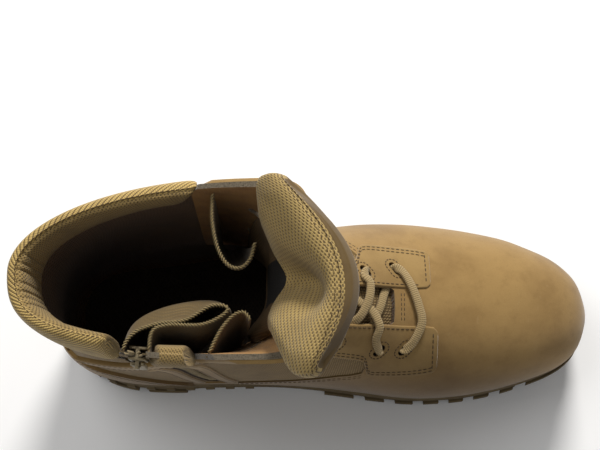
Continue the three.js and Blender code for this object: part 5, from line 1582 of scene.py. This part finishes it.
TOOTH_PITCH = 1.25
shut = np.arange(ZIP_LOW + 1.2, ZIP_OPEN - 4.5, TOOTH_PITCH)
free = np.arange(ZIP_OPEN + 6.2, SHAFT - 4, TOOTH_PITCH)
teeth = []
for sign in (-1, 1):
    start = 0.62 if sign > 0 else 0.0
    meshed = [(sign * 2.7, 0, 0.35), (sign * 1.2, 0, 1.0), (-sign * 0.5, 0.2, 0.55)]
    apart = [(sign * 3.0, 0, 0.4), (sign * 1.6, 0, 1.1), (sign * 0.5, 0, 0.1), (sign * 1.6, 0.4, -0.9)]
    teeth += tooth_row(shut + start, meshed, 0) + tooth_row(free, apart, sign)
finish(rods("zip_teeth", teeth, 0.42), COIL, angle=80)
# strips of leather beside the zip and under its lower end
GUARD_NEAR, GUARD_FAR, GUARD_TOPS = 5.4, 13.5, {"rear": 176, "front": 196}
guards = []
for d0, d1, word in ((-GUARD_FAR, -GUARD_NEAR, "rear"), (GUARD_NEAR, GUARD_FAR, "front")):
    guard = side_panel(f"zip_guard_{word}", d0, d1, ZIP_LOW - 4, GUARD_TOPS[word], 1.0)
    guards.append(finish(guard, NUBUCK_STRAP))
foot = side_panel("zip_guard_foot", -GUARD_FAR, GUARD_FAR, ZIP_LOW - 12, ZIP_LOW - 5.6, 1.1, 30, 38)
finish(foot, NUBUCK_STRAP)


def refined(node, name, width, look, body):
    """A CAD piece with its edges rounded."""
    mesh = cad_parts[node].data.copy()
    obj = bpy.data.objects.new(name, mesh)
    bpy.context.scene.collection.objects.link(obj)
    bm = bmesh.new()
    bm.from_mesh(mesh)
    bmesh.ops.remove_doubles(bm, verts=bm.verts, dist=1e-6)
    bmesh.ops.dissolve_limit(bm, angle_limit=math.radians(4), verts=bm.verts, edges=bm.edges)
    bm.to_mesh(mesh)
    bm.free()
    mod = obj.modifiers.new("edges", "BEVEL")
    mod.width, mod.segments, mod.limit_method, mod.angle_limit = width * MM, 3, "ANGLE", math.radians(30)
    settle(obj)
    return finish(obj, look, [node], 40, body)


refined("zip_slider", "slider", 0.35, METAL, "boot")
refined("zip_pull", "pull", 0.3, METAL, "zip_pull")

# The tab that closes over the slider, lying open towards the heel: x as a share of FOOT, and
# distance out of the shaft's face as a share of TAB_LIFT
TAB = [(0.245, 0.06), (0.225, 0.06), (0.2, 0.32), (0.175, 0.52), (0.15, 0.68), (0.125, 0.84), (0.105, 1)]
TAB_TOP, TAB_HEIGHT, TAB_LIFT = 184, 20, 5


def closing_tab():
    line = open_curve(TAB, 60)
    x, z = np.meshgrid(line[:, 0] * FOOT, TAB_TOP - eased(30, 0.08) * TAB_HEIGHT, indexing="ij")
    lift = np.broadcast_to(line[:, 1:] * TAB_LIFT, x.shape)
    under = side_point(x, z, -1, lift)
    run, along = lengths(under, 1), lengths(under, 0)
    d = np.minimum(np.minimum(run, run[:, -1:] - run), np.minimum(along, along[-1:] - along))
    obj = slab("closing_tab", side_point(x, z, -1, lift + 0.7 + 1.9 * rounded(d, 2.2)), under)
    # pile on the face towards the shaft
    across = x.shape[1]
    for number, poly in enumerate(obj.data.polygons):
        poly.material_index = 1 if across <= number % (2 * across) < 2 * across - 1 else 0
    return obj


tab = closing_tab()
finish(tab, [NUBUCK_STRAP, PILE], ["zip_tab"])

# Laces
finish(lace_from("lace_1", EYELETS[1][0], BAR, EYELETS[-1][0], 190), LACE, ["lace_bar_1"], 60)
finish(lace_from("lace_2a", EYELETS[1][1], OVER), LACE, ["lace_cross_2"], 60)
finish(lace_from("lace_2b", EYELETS[-1][1], UNDER), LACE, angle=60)
inside = np.array([spot(*place) for place in INSIDE])
inside_ups = np.array([spot(t, y, 1) - spot(t, y, 0) for t, y, _ in INSIDE])
finish(lace_tube("lace_inside", inside, inside_ups, 90), LACE, angle=60)
for row in range(2, EYELET_ROWS - 1):
    a, b = EYELETS[1], EYELETS[-1]
    first = lace_leg(f"lace_{row + 1}a", a[row], b[row + 1], 1.2)
    finish(first, LACE, [f"lace_cross_{row + 1}"], 60)
    second = lace_leg(f"lace_{row + 1}b", b[row], a[row + 1], 0.0)
    finish(second, LACE, angle=60)

# Stitching
seams = []
for side, obj in facings.items():
    surface = bvh_of(obj)
    low, high = FACING[side][0][2], 22.6
    for inset in (2.4, 4.6):
        seams += stitch_segments(facing_line(side, inset, low, high, 1), surface)
    seams += stitch_segments(facing_line(side, 2.0, 8.5, high, 0), surface)
    first, last = (float(v[0]) for v in facing_ends(low + 0.02, side, 3.4))
    seams += stitch_segments(form(low + 0.02, np.linspace(first, last, 30), FACE + 0.2), surface)
    for e in EYELETS[side]:
        ring = stadium(e, 13.0, 8.6, 40, 0.0)
        seams += stitch_segments(np.concatenate([ring, ring[:1]]), surface, 2.0, 0.5)
finish(rods("facing_stitches", seams, 0.42), STITCH_GROOVE_SHADE, angle=80)

dark = []
surface = bvh_of(vamp)
for side in (1, -1):
    edge = np.array(in_mm(VAMP_EDGE[side][1:] + VAMP_REAR[:3]))
    for below in (2.2, 4.6):
        line = side_point(edge[:, 0], edge[:, 1] - below, side, 1.0)
        dark += stitch_segments(resample(line, 2), surface)
# two short rows across the vamp at the foot of the throat
for t in (9.08, 8.98):
    start, end = (float(angle_at_half(t, 8.0, side)) for side in (1, -1))
    line = np.array([form(t, angle, 1.0) for angle in np.linspace(start, 2 * math.pi + end, 24)])
    dark += stitch_segments(line, surface, 2.4)
surface = bvh_of(counter)
edge = np.array(in_mm(COUNTER_LINE[2:12]))
for side in (1, -1):
    for gap in (2.2, 4.4):
        line = side_point(edge[:, 0].clip(3) - gap * 0.75, edge[:, 1] - gap * 0.6, side, 2.0)
        dark += stitch_segments(resample(line, 2), surface)
surface = bvh_of(strip)
z = np.linspace(98, 186, 40)
heel_t = np.linspace(16, TOP, 60)
heel_x = [float(section(t).back[0]) - 2 for t in np.interp(z, section(heel_t).back[:, 1], heel_t)]
for y in (-12.6, -10.4, 10.4, 12.6):
    dark += stitch_segments(np.stack([heel_x, np.full_like(z, y), z], -1), surface)
for guard, high, sign in zip(guards, (174, 194), (-1, 1)):
    surface = bvh_of(guard)
    z = np.linspace(ZIP_LOW - 2, high, 60)
    for d in (12.2, 6.8):
        dark += stitch_segments(side_point(zip_x(z) + sign * d, z, -1, 1.0), surface)
finish(rods("panel_stitches", dark, 0.34), STITCH_GROOVE_SHADE, angle=80)

trim = []
surface = bvh_of(tongue_top)
for line in tongue_rims:
    trim += stitch_segments(line, surface, 2.2, 0.5)
surface = bvh_of(rear_pad)
for line in rear_seams:
    trim += stitch_segments(line[4:-4], surface, 2.4, 0.6)
# round the tab, 2.6 mm in from its top and 2.6 mm from its lower edge
tab_ends = np.linspace(72, 36, 20)
rim = np.concatenate([side_point(tab_ends, 181.4, -1, 6.0), side_point(34.6, np.linspace(181, 167, 10), -1, 7.0),
                      side_point(tab_ends[::-1], 166.6, -1, 6.0)])
trim += stitch_segments(rim, bvh_of(tab), 2.6)
finish(rods("trim_stitches", trim, 0.3), STITCH_GROOVE_SHADE, angle=80)

# Camera, light and floor
camera = bpy.data.objects.new("camera", bpy.data.cameras.new("camera"))
camera.data.lens, camera.data.sensor_width = 81.0, 36.0
camera.location = (-0.0151, -0.1083, 0.842)
camera.rotation_euler = (math.radians(11.5), 0, 0)
bpy.context.scene.collection.objects.link(camera)
bpy.context.scene.camera = camera


def softbox(name, place, aim, size, power, tone=(1, 1, 1)):
    """A round light at a place, turned to where it aims."""
    light = bpy.data.objects.new(name, bpy.data.lights.new(name, "AREA"))
    light.data.shape = "DISK"
    light.data.size, light.data.energy, light.data.color = size, power, tone
    light.location = place
    light.rotation_euler = (Vector(aim) - Vector(place)).to_track_quat("-Z", "Y").to_euler()
    bpy.context.scene.collection.objects.link(light)


softbox("key", (0.2, 1.05, 0.85), (0.0, 0.0, 0.08), 0.4, 19.0, (1.0, 0.98, 0.95))
softbox("top", (-0.5, 0.35, 1.2), (-0.05, 0.0, 0.15), 0.7, 4.5)
softbox("fill", (0.1, -1.1, 0.7), (0.0, 0.0, 0.05), 1.2, 0.4)
world = bpy.data.worlds.new("studio")
world.use_nodes = True
world.node_tree.nodes["Background"].inputs["Color"].default_value = (1.0, 1.0, 1.0, 1)
world.node_tree.nodes["Background"].inputs["Strength"].default_value = 0.27
bpy.context.scene.world = world
bpy.context.scene.view_settings.view_transform = "Standard"

floor_mesh = bpy.data.meshes.new("floor")
corners = [(x, y, -0.0002) for x, y in ((-4, -4), (4, -4), (4, 4), (-4, 4))]
floor_mesh.from_pydata(corners, [], [(0, 1, 2, 3)])
floor = bpy.data.objects.new("floor", floor_mesh)
bpy.context.scene.collection.objects.link(floor)
plain = Look("floor_paper", (0.96, 0.96, 0.96, 1), rough=0.95, specular=0.1)
plain.tint(plain.ramp(plain.noise(300, 2), 0.3, 0.8), (0.93, 0.93, 0.93, 1), 0.3)
floor_mesh.materials.append(plain.done())
